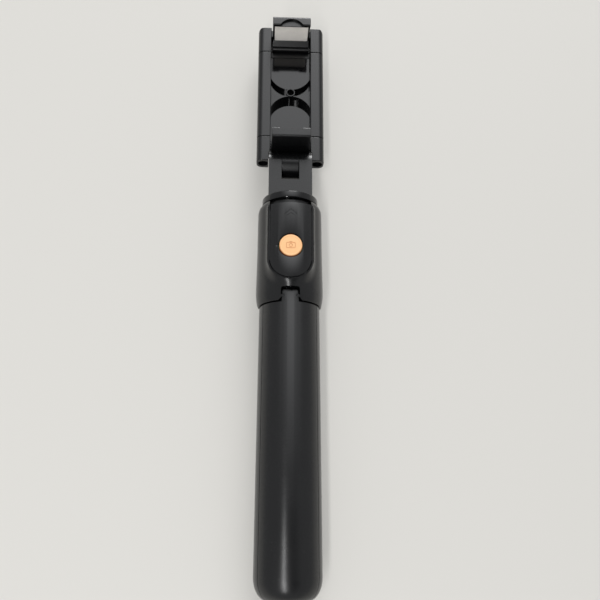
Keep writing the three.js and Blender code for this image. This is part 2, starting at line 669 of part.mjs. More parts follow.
// A jaw standing up from its hinge, with its outer face towards -y. The other jaw is its mirror image.
function makeJaw() {
  const outer = -JAW_BACK;
  const grip = outer + JAW_PLATE;
  const plate = extrudeX([
    [outer + 1, -1.3],
    [0, -1.3],
    [0, 2.4],
    [grip, 4.2],
    [grip, JAW_TIP - JAW_LIP_HIGH],
    [grip + JAW_LIP_OUT, JAW_TIP - JAW_LIP_HIGH + 0.4],
    [grip + JAW_LIP_OUT, JAW_TIP - 0.6],
    [grip + JAW_LIP_OUT - 0.6, JAW_TIP],
    [outer + 1, JAW_TIP],
    [outer, JAW_TIP - 1],
    [outer, 5.6],
    [outer + 1, 4.6],
  ], [-JAW_HALF, JAW_HALF]);
  const barrel = barX(JAW_BARREL_R, [-JAW_HALF, JAW_HALF], [0, 0]);
  const scallopEnds = [JAW_TIP - JAW_SCALLOP_DEEP, JAW_TIP + 5];
  const scallop = barZ(JAW_SCALLOP_R, scallopEnds, [0, grip + 6.3], 32);
  const bore = barX(JAW_PIN_R + 0.1, [-15, 15], [0, 0], 12);
  return cut(join(plate, barrel), scallop, bore);
}

function makeJawPad() {
  const grip = -JAW_BACK + JAW_PLATE;
  return block([-9.3, 9.3], [grip + FIT, grip + 0.9], [4.8, JAW_TIP - JAW_LIP_HIGH - 0.3]);
}

const LOW_JAW = [0, JAW_HINGE_LOW_Y, JAW_HINGE_Z];
const HIGH_JAW = [0, JAW_HINGE_HIGH_Y, JAW_HINGE_Z];
add("clamp_lower_bracket", makeLowerBracket(), MAT.soft_black);
add("clamp_body", makeClampBody(), MAT.soft_black);
add("clamp_top_bracket", makeTopBracket(), MAT.soft_black);
add("lower_jaw", makeJaw().translate(LOW_JAW), MAT.soft_black);
add("upper_jaw", makeJaw().mirror([0, 1, 0]).translate(HIGH_JAW), MAT.soft_black);
add("lower_jaw_pad", makeJawPad().translate(LOW_JAW), MAT.jaw_pad);
add("upper_jaw_pad", makeJawPad().mirror([0, 1, 0]).translate(HIGH_JAW), MAT.jaw_pad);
add("lower_jaw_pin", barX(JAW_PIN_R, [-12.4, 12.4], [JAW_HINGE_LOW_Y, JAW_HINGE_Z], 12), MAT.steel);
add("upper_jaw_pin", barX(JAW_PIN_R, [-12.4, 12.4], [JAW_HINGE_HIGH_Y, JAW_HINGE_Z], 12), MAT.steel);

class Helix extends THREE.Curve {
  getPoint(t) {
    const a = 2 * Math.PI * SPRING_TURNS * t;
    const y = SPRING_ENDS[0] + (SPRING_ENDS[1] - SPRING_ENDS[0]) * t;
    return new THREE.Vector3(SPRING_COIL_R * Math.cos(a), y, SPRING_COIL_R * Math.sin(a));
  }
}

const ROD_BOTTOM = 229.2;
const NUT_ENDS = [229.8, 232];
const SPRING_ENDS = [232.7, CLAMP_SEAM_HIGH - GAP - 3.7];
const wire = new THREE.Shape().absarc(0, 0, SPRING_WIRE_R, 0, 2 * Math.PI);
const springSteps = 9 * SPRING_TURNS;
const spring = solid(
  new THREE.ExtrudeGeometry(wire, { extrudePath: new Helix(), steps: springSteps, curveSegments: 2 }),
);
for (const [side, s] of [["right", 1], ["left", -1]]) {
  const at = [s * RAIL_X, RAIL_BORE_Z];
  const rodNut = cut(barY(2.1, NUT_ENDS, at, 16), barY(ROD_R + 0.1, [220, 240], at, 16));
  const screwAt = [s * BRACKET_SCREW_X, BRACKET_SCREW_Z];
  const bracketScrew = join(barY(0.65, [231, 244], screwAt, 12), barY(1.3, [231, 232.3], screwAt, 16));
  add("guide_rod_" + side, barY(ROD_R, [ROD_BOTTOM, 303], at, 16), MAT.steel);
  add("rod_nut_" + side, rodNut, MAT.steel);
  add("return_spring_" + side, spring.translate([at[0], 0, at[1]]), MAT.steel);
  add("bracket_screw_" + side, bracketScrew, MAT.steel);
}

// ---------- the whole, lying on its back ----------
const lying = new THREE.Group();
object.position.set(0, -TOTAL_LENGTH / 2, -HEAD_FLAT_Z);
lying.add(object);

export default lying;
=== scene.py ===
"""The looks of a folding selfie stick whose handle opens into a three-legged stand.

Pieces are modelled in millimetres, with the stick along y, its feet at y = 0 and its axis at
x = z = 0. TO_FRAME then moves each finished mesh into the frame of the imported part, in metres.
"""

import math

import bmesh
import bpy
from bpy.props import FloatProperty, FloatVectorProperty, PointerProperty
from mathutils import Matrix, Vector


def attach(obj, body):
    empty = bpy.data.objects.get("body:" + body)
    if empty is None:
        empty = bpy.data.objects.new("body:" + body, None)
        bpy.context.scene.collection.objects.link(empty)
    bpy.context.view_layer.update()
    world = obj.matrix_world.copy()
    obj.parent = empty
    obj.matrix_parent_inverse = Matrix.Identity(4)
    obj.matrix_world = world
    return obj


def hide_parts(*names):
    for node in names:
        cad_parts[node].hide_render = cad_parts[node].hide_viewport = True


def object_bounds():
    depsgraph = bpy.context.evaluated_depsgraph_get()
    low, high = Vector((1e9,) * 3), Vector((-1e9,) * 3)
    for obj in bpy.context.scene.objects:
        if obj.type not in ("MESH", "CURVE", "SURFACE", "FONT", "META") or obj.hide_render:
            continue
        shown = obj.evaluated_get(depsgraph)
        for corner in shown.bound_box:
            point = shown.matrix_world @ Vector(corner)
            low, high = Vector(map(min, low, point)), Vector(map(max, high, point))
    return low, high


bl_info = {
    "name": "Folding selfie stick",
    "version": (1, 0, 0),
    "blender": (4, 5, 0),
    "location": "3D View > Sidebar > Selfie Stick",
    "description": "Builds the looks of a folding selfie stick round its packed part",
    "category": "Add Mesh",
}

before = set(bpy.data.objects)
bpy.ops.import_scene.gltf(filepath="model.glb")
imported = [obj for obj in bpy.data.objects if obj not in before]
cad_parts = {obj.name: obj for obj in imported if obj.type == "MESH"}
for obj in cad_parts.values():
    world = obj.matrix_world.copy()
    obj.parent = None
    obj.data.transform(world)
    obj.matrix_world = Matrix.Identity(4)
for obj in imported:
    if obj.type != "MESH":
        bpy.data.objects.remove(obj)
CAD_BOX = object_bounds()

# ---------- the part's own dimensions, in millimetres ----------
MM = 0.001
LENGTH = (CAD_BOX[1].y - CAD_BOX[0].y) / MM
HEAD_FLAT_Z = -16.7
TO_FRAME = Matrix.Scale(MM, 4) @ Matrix.Translation((0, -LENGTH / 2, -HEAD_FLAT_Z))

LEG_TOP = 140.7
LEG_TOP_R = 15.5
LEG_FOOT_R = 16.3
LEG_INNER_R = 10.9
LEG_WALL = 2
LEG_SLIT = 0.6  # degrees, half of the gap between two legs
LEG_BAYS = ((12, 46), (48, 92), (94, 131))
FOOT_ROUND = 11
FOOT_END = 0.6
FOOT_FLAT_R = 9.5
HINGE_Y = 143.9
HINGE_R = 14.2
HINGE_BORE_R = 1.05
TAB_HALF = 4.25
KNUCKLE_R = 2.9
LEG_TURNS = {"front": 0, "right": 120, "left": -120}

HEAD_BOTTOM = 141.3
HEAD_TOP = 197
HEAD_PROFILE = (
    (HEAD_BOTTOM, 16.2),
    (143, 16.75),
    (145.5, 17.15),
    (148.5, 17.35),
    (160, 17.15),
    (175, 16.95),
    (190, 16.85),
    (194.3, 16.55),
    (HEAD_TOP, 14.9),
)
HEAD_CAVITY_R = 13.4
HEAD_BORE_R = 10.6
SHELL_SPLIT = 0.15
SCREW_X = 14.95
SCREW_ROWS = {"lower": 157, "upper": 189}

CROWN_R = 18.8
CROWN_Z = 1.2
REMOTE_HALF = 10.5
REMOTE_BOTTOM = 151.9
REMOTE_TOP = 192
REMOTE_ROUND_Y = REMOTE_BOTTOM + REMOTE_HALF
BAY_GAP = 0.35
BAY_BACK_R = 14.85
CREST_DROP = 0.9
CREST_CLEAR = 0.45  # keeps the crest line's groove clear of the bay's lowest point
BUTTON_Y = 168.7
BUTTON_R = 6
BUTTON_TOP = 20.2
BUTTON_BACK = 17.6
SIGN_REACH = 3 * MM  # further than the camera sign goes from the button's middle
BUTTON_FACE = (  # radius and depth below the top, from the dished middle out to the skirt
    (0, 0.12),
    (2.5, 0.14),
    (4.5, 0.2),
    (4.8, 0.22),
    (5.0, 0.12),
    (5.25, 0.12),
    (5.55, 0.24),
    (5.75, 0.5),
    (5.85, 0.8),
)
LIGHT_X = -7.1
LIGHT_HOLE_R = 0.62

TUBE_COUNT = 7
TUBE_R = 10
TUBE_WALL = 0.5
TUBE_LIP = 0.3
TUBE_BOTTOM = 5.5
TUBE_TOP = 196.6

COLLAR_R = 14.8
COLLAR_BOTTOM = 197.3
COLLAR_TOP = 201
YOKE_BOTTOM = 201.3
YOKE_HALF = 11.6
YOKE_SLOT = 4.75
YOKE_SLOT_FLOOR = 210.9
TILT_Y = 222.3
TILT_R = 7.3
TILT_ROUND = 7.29  # just short of a full round, which keeps the outline's corners apart
TILT_BORE_R = 2.3
TILT_HEAD_R = 3.7

CLAMP_HALF = 18.4
RAIL_IN = 11
RAIL_FRONT = 4
RAIL_BACK = -5.6
RAIL_X = (CLAMP_HALF + RAIL_IN) / 2
RAIL_BORE_Z = -0.8
RAIL_BORE_R = 2.5
CLAMP_BOTTOM = 223.9
SEAM_LOW = 238.1
SEAM_HIGH = 291.9
FLOOR_Z = -2.3
RECESS_Z = -5.9
BACK_Z = -7.3
BRACKET_FLOOR_Z = -3.4
TONGUE_END = 271.2
DISC_END = 260.7
ARC_R = 12.1
WEB_Z = 1
WEB_LOW_END = 264.9
WEB_HIGH_END = 263.5
WEB_HIGH_R = 14
RING_Y = 267.1
RING_R = 2.4
RING_HOLE_R = 1.95
WEB_WALL = 0.5

JAW_HALF = 10.4
JAW_Z = -1.6
JAW_LOW_Y = 234.8
JAW_HIGH_Y = 297.2
JAW_BACK = RAIL_FRONT - JAW_Z
JAW_TIP = 22.1
JAW_PLATE = 2.4
JAW_LIP_HIGH = 2.6
JAW_LIP_OUT = 3
SCALLOP_R = 7.2
SCALLOP_DEEP = 1.4


# ---------- settings a user would change ----------
def length(name, description, mm):
    return FloatProperty(
        name=name, description=description, default=mm * MM, min=0, unit="LENGTH", precision=5
    )


def colour(name, description, rgb):
    return FloatVectorProperty(
        name=name, description=description, default=rgb, size=3, min=0, max=1, subtype="COLOR"
    )


def share(name, description, value):
    return FloatProperty(
        name=name, description=description, default=value, min=0, max=1, subtype="FACTOR"
    )


class StickSizes(bpy.types.PropertyGroup):
    handle_edge: length("Handle edge", "Rounding along the edges of the legs", 0.45)
    head_edge: length("Head edge", "Rounding along the edges of the head shells", 0.3)
    fork_edge: length("Fork edge", "Rounding along the edges of the fork", 0.7)
    clamp_edge: length("Clamp edge", "Rounding along the edges of the phone clamp", 0.22)
    cheek_crest: length("Cheek crest", "Half-width of the level top of the raised cheeks", 11.8)
    cheek_foot: length("Cheek foot", "Half-width at which the cheeks meet the round head", 15.9)
    chevron_height: length("Chevron height", "How far the chevrons stand up from the cover", 0.2)
    engraving: length("Engraving", "Depth of the camera sign in the button", 0.12)


class StickFinishes(bpy.types.PropertyGroup):
    plastic: colour("Plastic", "Satin black of the moulded parts", (0.0032, 0.0033, 0.0037))
    gloss_plastic: colour("Gloss plastic", "Black of the polished parts", (0.0025, 0.0025, 0.003))
    rubber: colour("Foot rubber", "Colour of the foot pads", (0.011, 0.011, 0.012))
    pad: colour("Jaw pads", "Colour of the soft jaw pads", (0.8, 0.765, 0.715))
    button: colour("Shutter button", "Colour of the shutter button", (0.82, 0.475, 0.225))
    # The button's skirt colour is painted shade: this darker brown stands in for the shade on the
    # button's steep side.
    button_skirt_painted_shade: colour("Button shade", "Colour of the button's skirt", (0.42, 0.11, 0.03))
    steel: colour("Steel", "Colour of screws, pins and rods", (0.55, 0.55, 0.56))
    tube: colour("Tubes", "Colour of the black chromed pole", (0.12, 0.12, 0.13))
    plastic_roughness: share("Plastic roughness", "Roughness of the satin plastic", 0.27)
    gloss_roughness: share("Gloss roughness", "Roughness of the polished plastic", 0.09)
    tabletop: colour("Tabletop", "Colour of the surface under the stick", (0.43, 0.421, 0.398))


def sizes():
    return bpy.context.scene.stick_sizes


def finishes():
    return bpy.context.scene.stick_finishes


# ---------- solids ----------
PLANES = {
    "X": lambda a, b, along: Vector((along, a, b)),
    "Y": lambda a, b, along: Vector((a, along, b)),
    "Z": lambda a, b, along: Vector((a, b, along)),
}
AXES = {"X": Vector((1, 0, 0)), "Y": Vector((0, 1, 0)), "Z": Vector((0, 0, 1))}
MEET = 0.0004  # points closer than this, in millimetres, are one
LEAN = Vector((0.377, 1, 0.613))  # a direction along which few points are level


def moved_verts(result):
    return [v for v in result["geom"] if isinstance(v, bmesh.types.BMVert)]


def tidy(bm):
    """Merges doubles and turns every face outwards."""
    bmesh.ops.remove_doubles(bm, verts=bm.verts, dist=MEET)
    bmesh.ops.dissolve_degenerate(bm, edges=bm.edges, dist=MEET)
    bmesh.ops.recalc_face_normals(bm, faces=bm.faces)
    return bm


def put_in_order(bm):
    """Sorts points, edges and faces by place, so that a mesh comes out the same every time."""
    bm.verts.sort(key=lambda v: v.co.dot(LEAN))
    bm.verts.index_update()
    bm.edges.sort(key=lambda e: (e.verts[0].co + e.verts[1].co).dot(LEAN))
    bm.edges.index_update()
    bm.faces.sort(key=lambda f: f.calc_center_median().dot(LEAN))
    bm.faces.index_update()


def sharp_edges(bm, angle, where=None):
    limit = math.radians(angle)
    return [
        e
        for e in bm.edges
        if len(e.link_faces) == 2
        and e.calc_face_angle(0) > limit
        and (where is None or where((e.verts[0].co + e.verts[1].co) / 2))
    ]


def soften(bm, width, segments=3, angle=35, where=None):
    """Rounds the edges that are sharper than the angle."""
    put_in_order(bm)
    edges = sharp_edges(bm, angle, where)
    bmesh.ops.bevel(
        bm,
        geom=edges,
        offset=width,
        offset_type="OFFSET",
        affect="EDGES",
        segments=segments,
        profile=0.5,
        material=-1,
        clamp_overlap=True,
    )
    return bm


def prism(axis, points, span, rounds=(), steps=6, edge=0.0):
    """A bar along an axis from its outline, with a radius for each corner."""
    at = PLANES[axis]
    bm = bmesh.new()
    verts = [bm.verts.new(at(a, b, span[0])) for a, b in points]
    bm.faces.new(verts)
    for vert, radius in zip(verts, rounds):
        if radius:
            bmesh.ops.bevel(
                bm,
                geom=[vert],
                offset=radius,
                offset_type="OFFSET",
                affect="VERTICES",
                segments=steps,
                profile=0.5,
                material=-1,
            )
    made = bmesh.ops.extrude_face_region(bm, geom=bm.faces[:])
    bmesh.ops.translate(bm, vec=AXES[axis] * (span[1] - span[0]), verts=moved_verts(made))
    tidy(bm)
    return soften(bm, edge) if edge else bm


def corners(low_a, high_a, low_b, high_b):
    """The outline of a rectangle, anticlockwise from its low corner."""
    return ((low_a, low_b), (high_a, low_b), (high_a, high_b), (low_a, high_b))


def oblong(half, low, high):
    """The outline of a rectangle that lies evenly across the stick."""
    return corners(-half, half, low, high)


def longer(span, by=1):
    return (span[0] - by, span[1] + by)


def block(xs, ys, zs, edge=0.0):
    return prism("Z", corners(*xs, *ys), zs, edge=edge)


def bar(axis, radius, span, at=(0, 0), sides=48, edge=0.0, flare=None):
    """A round bar along an axis; flare gives it another radius at its far end."""
    bm = bmesh.new()
    bmesh.ops.create_cone(
        bm,
        cap_ends=True,
        segments=sides,
        radius1=radius,
        radius2=radius if flare is None else flare,
        depth=span[1] - span[0],
    )
    turn = Vector((0, 0, 1)).rotation_difference(AXES[axis]).to_matrix()
    bmesh.ops.rotate(bm, verts=bm.verts, cent=(0, 0, 0), matrix=turn)
    centre = PLANES[axis](at[0], at[1], (span[0] + span[1]) / 2)
    bmesh.ops.translate(bm, vec=centre, verts=bm.verts)
    return soften(bm, edge) if edge else bm


def turned(points, steps=96, on_axis=True):
    """A solid of revolution about the stick's axis, from (radius, y) points."""
    bm = bmesh.new()
    verts = [bm.verts.new((0, y, r)) for r, y in points]
    pairs = list(zip(verts, verts[1:]))
    if not on_axis:
        pairs.append((verts[-1], verts[0]))
    edges = [bm.edges.new(pair) for pair in pairs]
    bmesh.ops.spin(
        bm,
        geom=verts + edges,
        cent=(0, 0, 0),
        axis=(0, 1, 0),
        angle=2 * math.pi,
        steps=steps,
        use_merge=True,
    )
    return tidy(bm)


def stadium(half, y_round, y_top, span, sides=96, edge=0.0):
    """A U-shaped slab: round at its lower end, with parallel sides up to y_top."""
    bm = bmesh.new()
    bmesh.ops.create_circle(bm, cap_ends=True, segments=sides, radius=half)
    upper = [v for v in bm.verts if v.co.y > MEET]
    bmesh.ops.translate(bm, vec=(0, y_top - y_round + half, 0), verts=upper)
    bmesh.ops.translate(bm, vec=(0, y_round, span[0]), verts=bm.verts)
    geom = bm.verts[:] + bm.edges[:] + bm.faces[:]
    bmesh.ops.bisect_plane(
        bm, geom=geom, dist=MEET, plane_co=(0, y_top, 0), plane_no=(0, 1, 0), clear_outer=True
    )
    made = bmesh.ops.extrude_face_region(bm, geom=bm.faces[:])
    bmesh.ops.translate(bm, vec=(0, 0, span[1] - span[0]), verts=moved_verts(made))
    tidy(bm)
    return soften(bm, edge) if edge else bm


def helper(bm):
    """A bmesh as a short-lived object for the boolean modifier."""
    put_in_order(bm)
    mesh = bpy.data.meshes.new("helper")
    bm.to_mesh(mesh)
    bm.free()
    obj = bpy.data.objects.new("helper", mesh)
    bpy.context.scene.collection.objects.link(obj)
    return obj


def combine(operation, base, tools):
    body = helper(base)
    others = [helper(tool) for tool in tools]
    for other in others:
        modifier = body.modifiers.new("combine", "BOOLEAN")
        modifier.operation = operation
        modifier.solver = "EXACT"
        modifier.object = other
    graph = bpy.context.evaluated_depsgraph_get()
    mesh = bpy.data.meshes.new_from_object(body.evaluated_get(graph))
    bm = bmesh.new()
    bm.from_mesh(mesh)
    bpy.data.meshes.remove(mesh)
    for obj in (body, *others):
        data = obj.data
        bpy.data.objects.remove(obj)
        bpy.data.meshes.remove(data)
    bmesh.ops.remove_doubles(bm, verts=bm.verts, dist=MEET)
    bmesh.ops.dissolve_degenerate(bm, edges=bm.edges, dist=MEET)
    return bm


def join(base, *tools):
    return combine("UNION", base, tools)


def cut(base, *tools):
    return combine("DIFFERENCE", base, tools)


def meet(base, *tools):
    return combine("INTERSECT", base, tools)


def both_sides(bm):
    """Adds the mirror image across the stick."""
    geom = bm.verts[:] + bm.edges[:] + bm.faces[:]
    copy = bmesh.ops.duplicate(bm, geom=geom)["geom"]
    verts = [v for v in copy if isinstance(v, bmesh.types.BMVert)]
    faces = [f for f in copy if isinstance(f, bmesh.types.BMFace)]
    bmesh.ops.scale(bm, vec=(-1, 1, 1), verts=verts)
    bmesh.ops.reverse_faces(bm, faces=faces)
    return bm


def turn_about_axis(bm, degrees):
    turn = Matrix.Rotation(math.radians(degrees), 3, "Y")
    bmesh.ops.rotate(bm, verts=bm.verts, cent=(0, 0, 0), matrix=turn)
    return bm


def shift(bm, vec):
    bmesh.ops.translate(bm, vec=vec, verts=bm.verts)
    return bm


def smooth_step(t):
    t = min(max(t, 0.0), 1.0)
    return t * t * (3 - 2 * t)


def along_profile(knots, y):
    """The radius at y on a smooth curve through (y, radius) knots."""
    last = len(knots) - 2
    i = next((k for k in range(last + 1) if y <= knots[k + 1][0]), last)
    (y0, r0), (y1, r1) = knots[i], knots[i + 1]
    before, after = knots[max(i - 1, 0)], knots[min(i + 2, last + 1)]
    slope0 = (r1 - before[1]) / (y1 - before[0])
    slope1 = (after[1] - r0) / (after[0] - y0)
    t = (y - y0) / (y1 - y0)
    h = y1 - y0
    return (
        (2 * t**3 - 3 * t**2 + 1) * r0
        + (t**3 - 2 * t**2 + t) * h * slope0
        + (3 * t**2 - 2 * t**3) * r1
        + (t**3 - t**2) * h * slope1
    )


def piece(name, bm, body, node, slot, edge=0.0, segments=2, angle=35, coats=()):
    """Makes a mesh a piece that rides on a body and stands for a CAD node.

    It wears the finish named as its slot, unless it is given others.
    """
    tidy(bm)
    bmesh.ops.transform(bm, matrix=TO_FRAME, verts=bm.verts)
    mesh = bpy.data.meshes.new(name)
    bm.to_mesh(mesh)
    bm.free()
    mesh.shade_smooth()
    mesh.set_sharp_from_angle(angle=math.radians(angle))
    for material in coats or (slot,):
        mesh.materials.append(bpy.data.materials[OWN + material])
    obj = bpy.data.objects.new(name, mesh)
    bpy.context.scene.collection.objects.link(obj)
    if edge:
        bevel = obj.modifiers.new("edge", "BEVEL")
        bevel.width = edge
        bevel.segments = segments
        bevel.limit_method = "ANGLE"
        bevel.angle_limit = math.radians(angle)
        bevel.use_clamp_overlap = True
        bevel.harden_normals = False
        normals = obj.modifiers.new("normals", "WEIGHTED_NORMAL")
        normals.keep_sharp = True
    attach(obj, body)
    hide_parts(node)
    return obj


# ---------- finishes ----------
OWN = "stick_"  # sets these materials apart from the part's own


class Value:
    """A socket in a material, so that a pattern reads as an expression."""

    def __init__(self, finish, socket):
        self.finish = finish
        self.socket = socket

    def math(self, operation, *others):
        inputs = dict(enumerate((self, *others)))
        return self.finish.node("ShaderNodeMath", inputs, operation=operation)

    def __add__(self, other):
        return self.math("ADD", other)

    __radd__ = __add__

    def __mul__(self, other):
        return self.math("MULTIPLY", other)

    __rmul__ = __mul__

    def __sub__(self, other):
        return self.math("SUBTRACT", other)

    def __rsub__(self, other):
        return self.finish.node("ShaderNodeMath", {0: other, 1: self}, operation="SUBTRACT")

    def __pow__(self, other):
        return self.math("POWER", other)

    def over(self, low, high):
        """0 under low, 1 over high, and smooth in between."""
        inputs = {"Value": self, "From Min": low, "From Max": high}
        return self.finish.node("ShaderNodeMapRange", inputs, interpolation_type="SMOOTHSTEP")


class Finish:
    """One procedural material on the object's own coordinates."""

    def __init__(self, name, **constants):
        self.material = bpy.data.materials.new(OWN + name)
        self.material.use_nodes = True
        self.tree = self.material.node_tree
        self.shader = self.tree.nodes["Principled BSDF"]
        for socket, value in constants.items():
            self.shader.inputs[socket.replace("_", " ")].default_value = value
        self.place = self.node("ShaderNodeTexCoord", output="Object")

    def node(self, kind, inputs=None, output=0, **settings):
        made = self.tree.nodes.new(kind)
        for key, value in settings.items():
            setattr(made, key, value)
        for key, value in (inputs or {}).items():
            if isinstance(value, Value):
                self.tree.links.new(value.socket, made.inputs[key])
            else:
                made.inputs[key].default_value = value
        return Value(self, made.outputs[output])

    def noise(self, scale, detail=2.0, stretch=None, roughness=0.5):
        place = self.place
        if stretch:
            place = self.node("ShaderNodeMapping", {"Vector": place, "Scale": stretch})
        inputs = {"Vector": place, "Scale": scale, "Detail": detail, "Roughness": roughness}
        return self.node("ShaderNodeTexNoise", inputs)

    def edges(self, radius):
        """1 along edges and corners of about that radius, in metres, and 0 on open faces."""
        rounded = self.node("ShaderNodeBevel", {"Radius": radius}, samples=6)
        plain = self.node("ShaderNodeNewGeometry", output="Normal")
        inputs = {0: rounded, 1: plain}
        match = self.node("ShaderNodeVectorMath", inputs, output="Value", operation="DOT_PRODUCT")
        return (1 - match).over(0.01, 0.12)

    def mix(self, factor, first, second):
        inputs = {0: factor, 6: opaque(first), 7: opaque(second)}
        return self.node("ShaderNodeMix", inputs, output=2, data_type="RGBA")

    def bump(self, height, depth, strength=1.0):
        inputs = {"Height": height, "Distance": depth, "Strength": strength}
        self.feed(Normal=self.node("ShaderNodeBump", inputs))

    def feed(self, **values):
        for socket, value in values.items():
            self.tree.links.new(value.socket, self.shader.inputs[socket.replace("_", " ")])


def opaque(value):
    return value if isinstance(value, Value) else (*value[:3], 1.0)


def tint(rgb, factor):
    return tuple(min(c * factor, 1.0) for c in rgb)


def moulded_plastic(name, rgb, roughness, grain, wear):
    """Moulded plastic: a fine spark-eroded grain, cloudy sheen, rubbed edges and a little dust."""
    finish = Finish(name, IOR=1.5)
    cloud = finish.noise(45, 3)
    grains = finish.noise(5200, 2, roughness=0.6)
    dust = finish.noise(1500, 1).over(0.735, 0.77) * finish.noise(90, 2).over(0.5, 0.62)
    rubbed = finish.edges(0.0005) * finish.noise(260, 3).over(0.35, 0.7)
    body = finish.mix(cloud, tint(rgb, 0.85), tint(rgb, 1.15))
    body = finish.mix(rubbed * wear, body, tint(rgb, 2.6))
    body = finish.mix(dust * 0.35, body, (0.09, 0.088, 0.084))
    finish.feed(
        Base_Color=body,
        Roughness=roughness - 0.07 + cloud * 0.1 + grains * 0.05 - rubbed * 0.1 + dust * 0.2,
    )
    finish.bump(grains, 0.00002, grain)
    return finish.material


def soft_rubber(name, rgb, roughness):
    finish = Finish(name, IOR=1.45)
    cloud = finish.noise(120, 4)
    pores = finish.noise(3600, 3, roughness=0.7)
    rubbed = finish.edges(0.0006)
    body = finish.mix(cloud, tint(rgb, 0.86), tint(rgb, 1.12))
    body = finish.mix(rubbed * 0.4, body, tint(rgb, 1.35))
    finish.feed(Base_Color=body, Roughness=roughness - 0.06 + pores * 0.12)
    finish.bump(pores, 0.00004, 0.5)
    return finish.material


def metal(name, rgb, roughness, stretch, wear):
    """Drawn or ground metal with fine lines along one direction."""
    finish = Finish(name, Metallic=1.0)
    lines = finish.noise(900, 3, stretch=stretch)
    cloud = finish.noise(80, 3)
    rubbed = finish.edges(0.0004)
    body = finish.mix(cloud, tint(rgb, 0.88), tint(rgb, 1.1))
    body = finish.mix(rubbed * wear, body, tint(rgb, 1.5))
    finish.feed(Base_Color=body, Roughness=roughness - 0.06 + lines * 0.14 + cloud * 0.05)
    finish.bump(lines, 0.00001, 0.35)
    return finish.material


def button_finish(name, rgb, rim):
    """Painted plastic with a faint pearl; the skirt below its rim takes a browner colour, a painted
    shade on the button's steep side.
    """
    finish = Finish(name, IOR=1.45)
    cloud = finish.noise(260, 3)
    pearl = finish.noise(7000, 1)
    parts = finish.node("ShaderNodeSeparateXYZ", {0: finish.place})
    height = Value(finish, parts.socket.node.outputs["Z"])
    top = (BUTTON_TOP - HEAD_FLAT_Z) * MM
    # Painted shade: below the rim, the skirt takes the darker colour passed in as rim.
    skirt = 1 - height.over(top - 0.0006, top - 0.0002)
    body = finish.mix(cloud, tint(rgb, 0.97), tint(rgb, 1.03))
    body = finish.mix(skirt, body, rim)
    finish.feed(Base_Color=body, Roughness=0.36 + pearl * 0.1 + cloud * 0.06)
    finish.bump(pearl, 0.00001, 0.3)
    return finish.material


def board_finish():
    """Solder mask over the copper tracks of the small board."""
    finish = Finish("board_green", IOR=1.5)
    tracks = finish.noise(700, 0, stretch=(1, 0.2, 1)).over(0.52, 0.55)
    cloud = finish.noise(300, 2)
    body = finish.mix(tracks, (0.012, 0.13, 0.045), (0.03, 0.22, 0.075))
    finish.feed(Base_Color=body, Roughness=0.32 + cloud * 0.12)
    finish.bump(tracks, 0.00002, 0.4)
    return finish.material


def lens_finish():
    """Smoked clear plastic over the small light."""
    finish = Finish("clear_lens", IOR=1.49)
    haze = finish.noise(900, 2)
    body = finish.mix(haze, (0.01, 0.01, 0.011), (0.02, 0.02, 0.021))
    finish.feed(Base_Color=body, Roughness=0.12 + haze * 0.1)
    return finish.material


def tabletop_finish():
    """A pale matt tabletop with barely visible mottling and a faint glow that lifts its shadows."""
    finish = Finish(
        "tabletop",
        IOR=1.4,
        Roughness=0.75,
        Specular_IOR_Level=0.25,
        Emission_Color=(1.0, 0.985, 0.94, 1),
        Emission_Strength=0.2,
    )
    rgb = tuple(finishes().tabletop)
    cloud = finish.noise(3.0, 2)
    finish.feed(Base_Color=finish.mix(cloud, tint(rgb, 0.99), tint(rgb, 1.01)))
    return finish.material


def make_finishes():
    look = finishes()
    plastic = tuple(look.plastic)
    moulded_plastic("satin_black", plastic, look.plastic_roughness, 0.05, 0.5)
    moulded_plastic("gloss_black", tuple(look.gloss_plastic), look.gloss_roughness, 0.01, 0.25)
    soft_rubber("foot_rubber", tuple(look.rubber), 0.8)
    soft_rubber("jaw_rubber", tuple(look.pad), 0.62)
    metal("steel", tuple(look.steel), 0.26, (1, 0.05, 1), 0.3)
    metal("dark_steel", tint(tuple(look.steel), 0.06), 0.4, (1, 0.05, 1), 0.2)
    metal("tube_metal", tuple(look.tube), 0.24, (1, 0.02, 1), 0.4)
    # The second button colour is painted shade for the button's skirt.
    peach, painted_skirt_shade = tuple(look.button), tuple(look.button_skirt_painted_shade)
    button_finish("button_peach", peach, painted_skirt_shade)
    button_finish("button_sign", tuple((a + b) / 2 for a, b in zip(peach, painted_skirt_shade)), painted_skirt_shade)
    board_finish()
    lens_finish()


# ---------- handle ----------
def leg_radius(y):
    return LEG_FOOT_R + (LEG_TOP_R - LEG_FOOT_R) * (y - FOOT_ROUND) / (LEG_TOP - FOOT_ROUND)


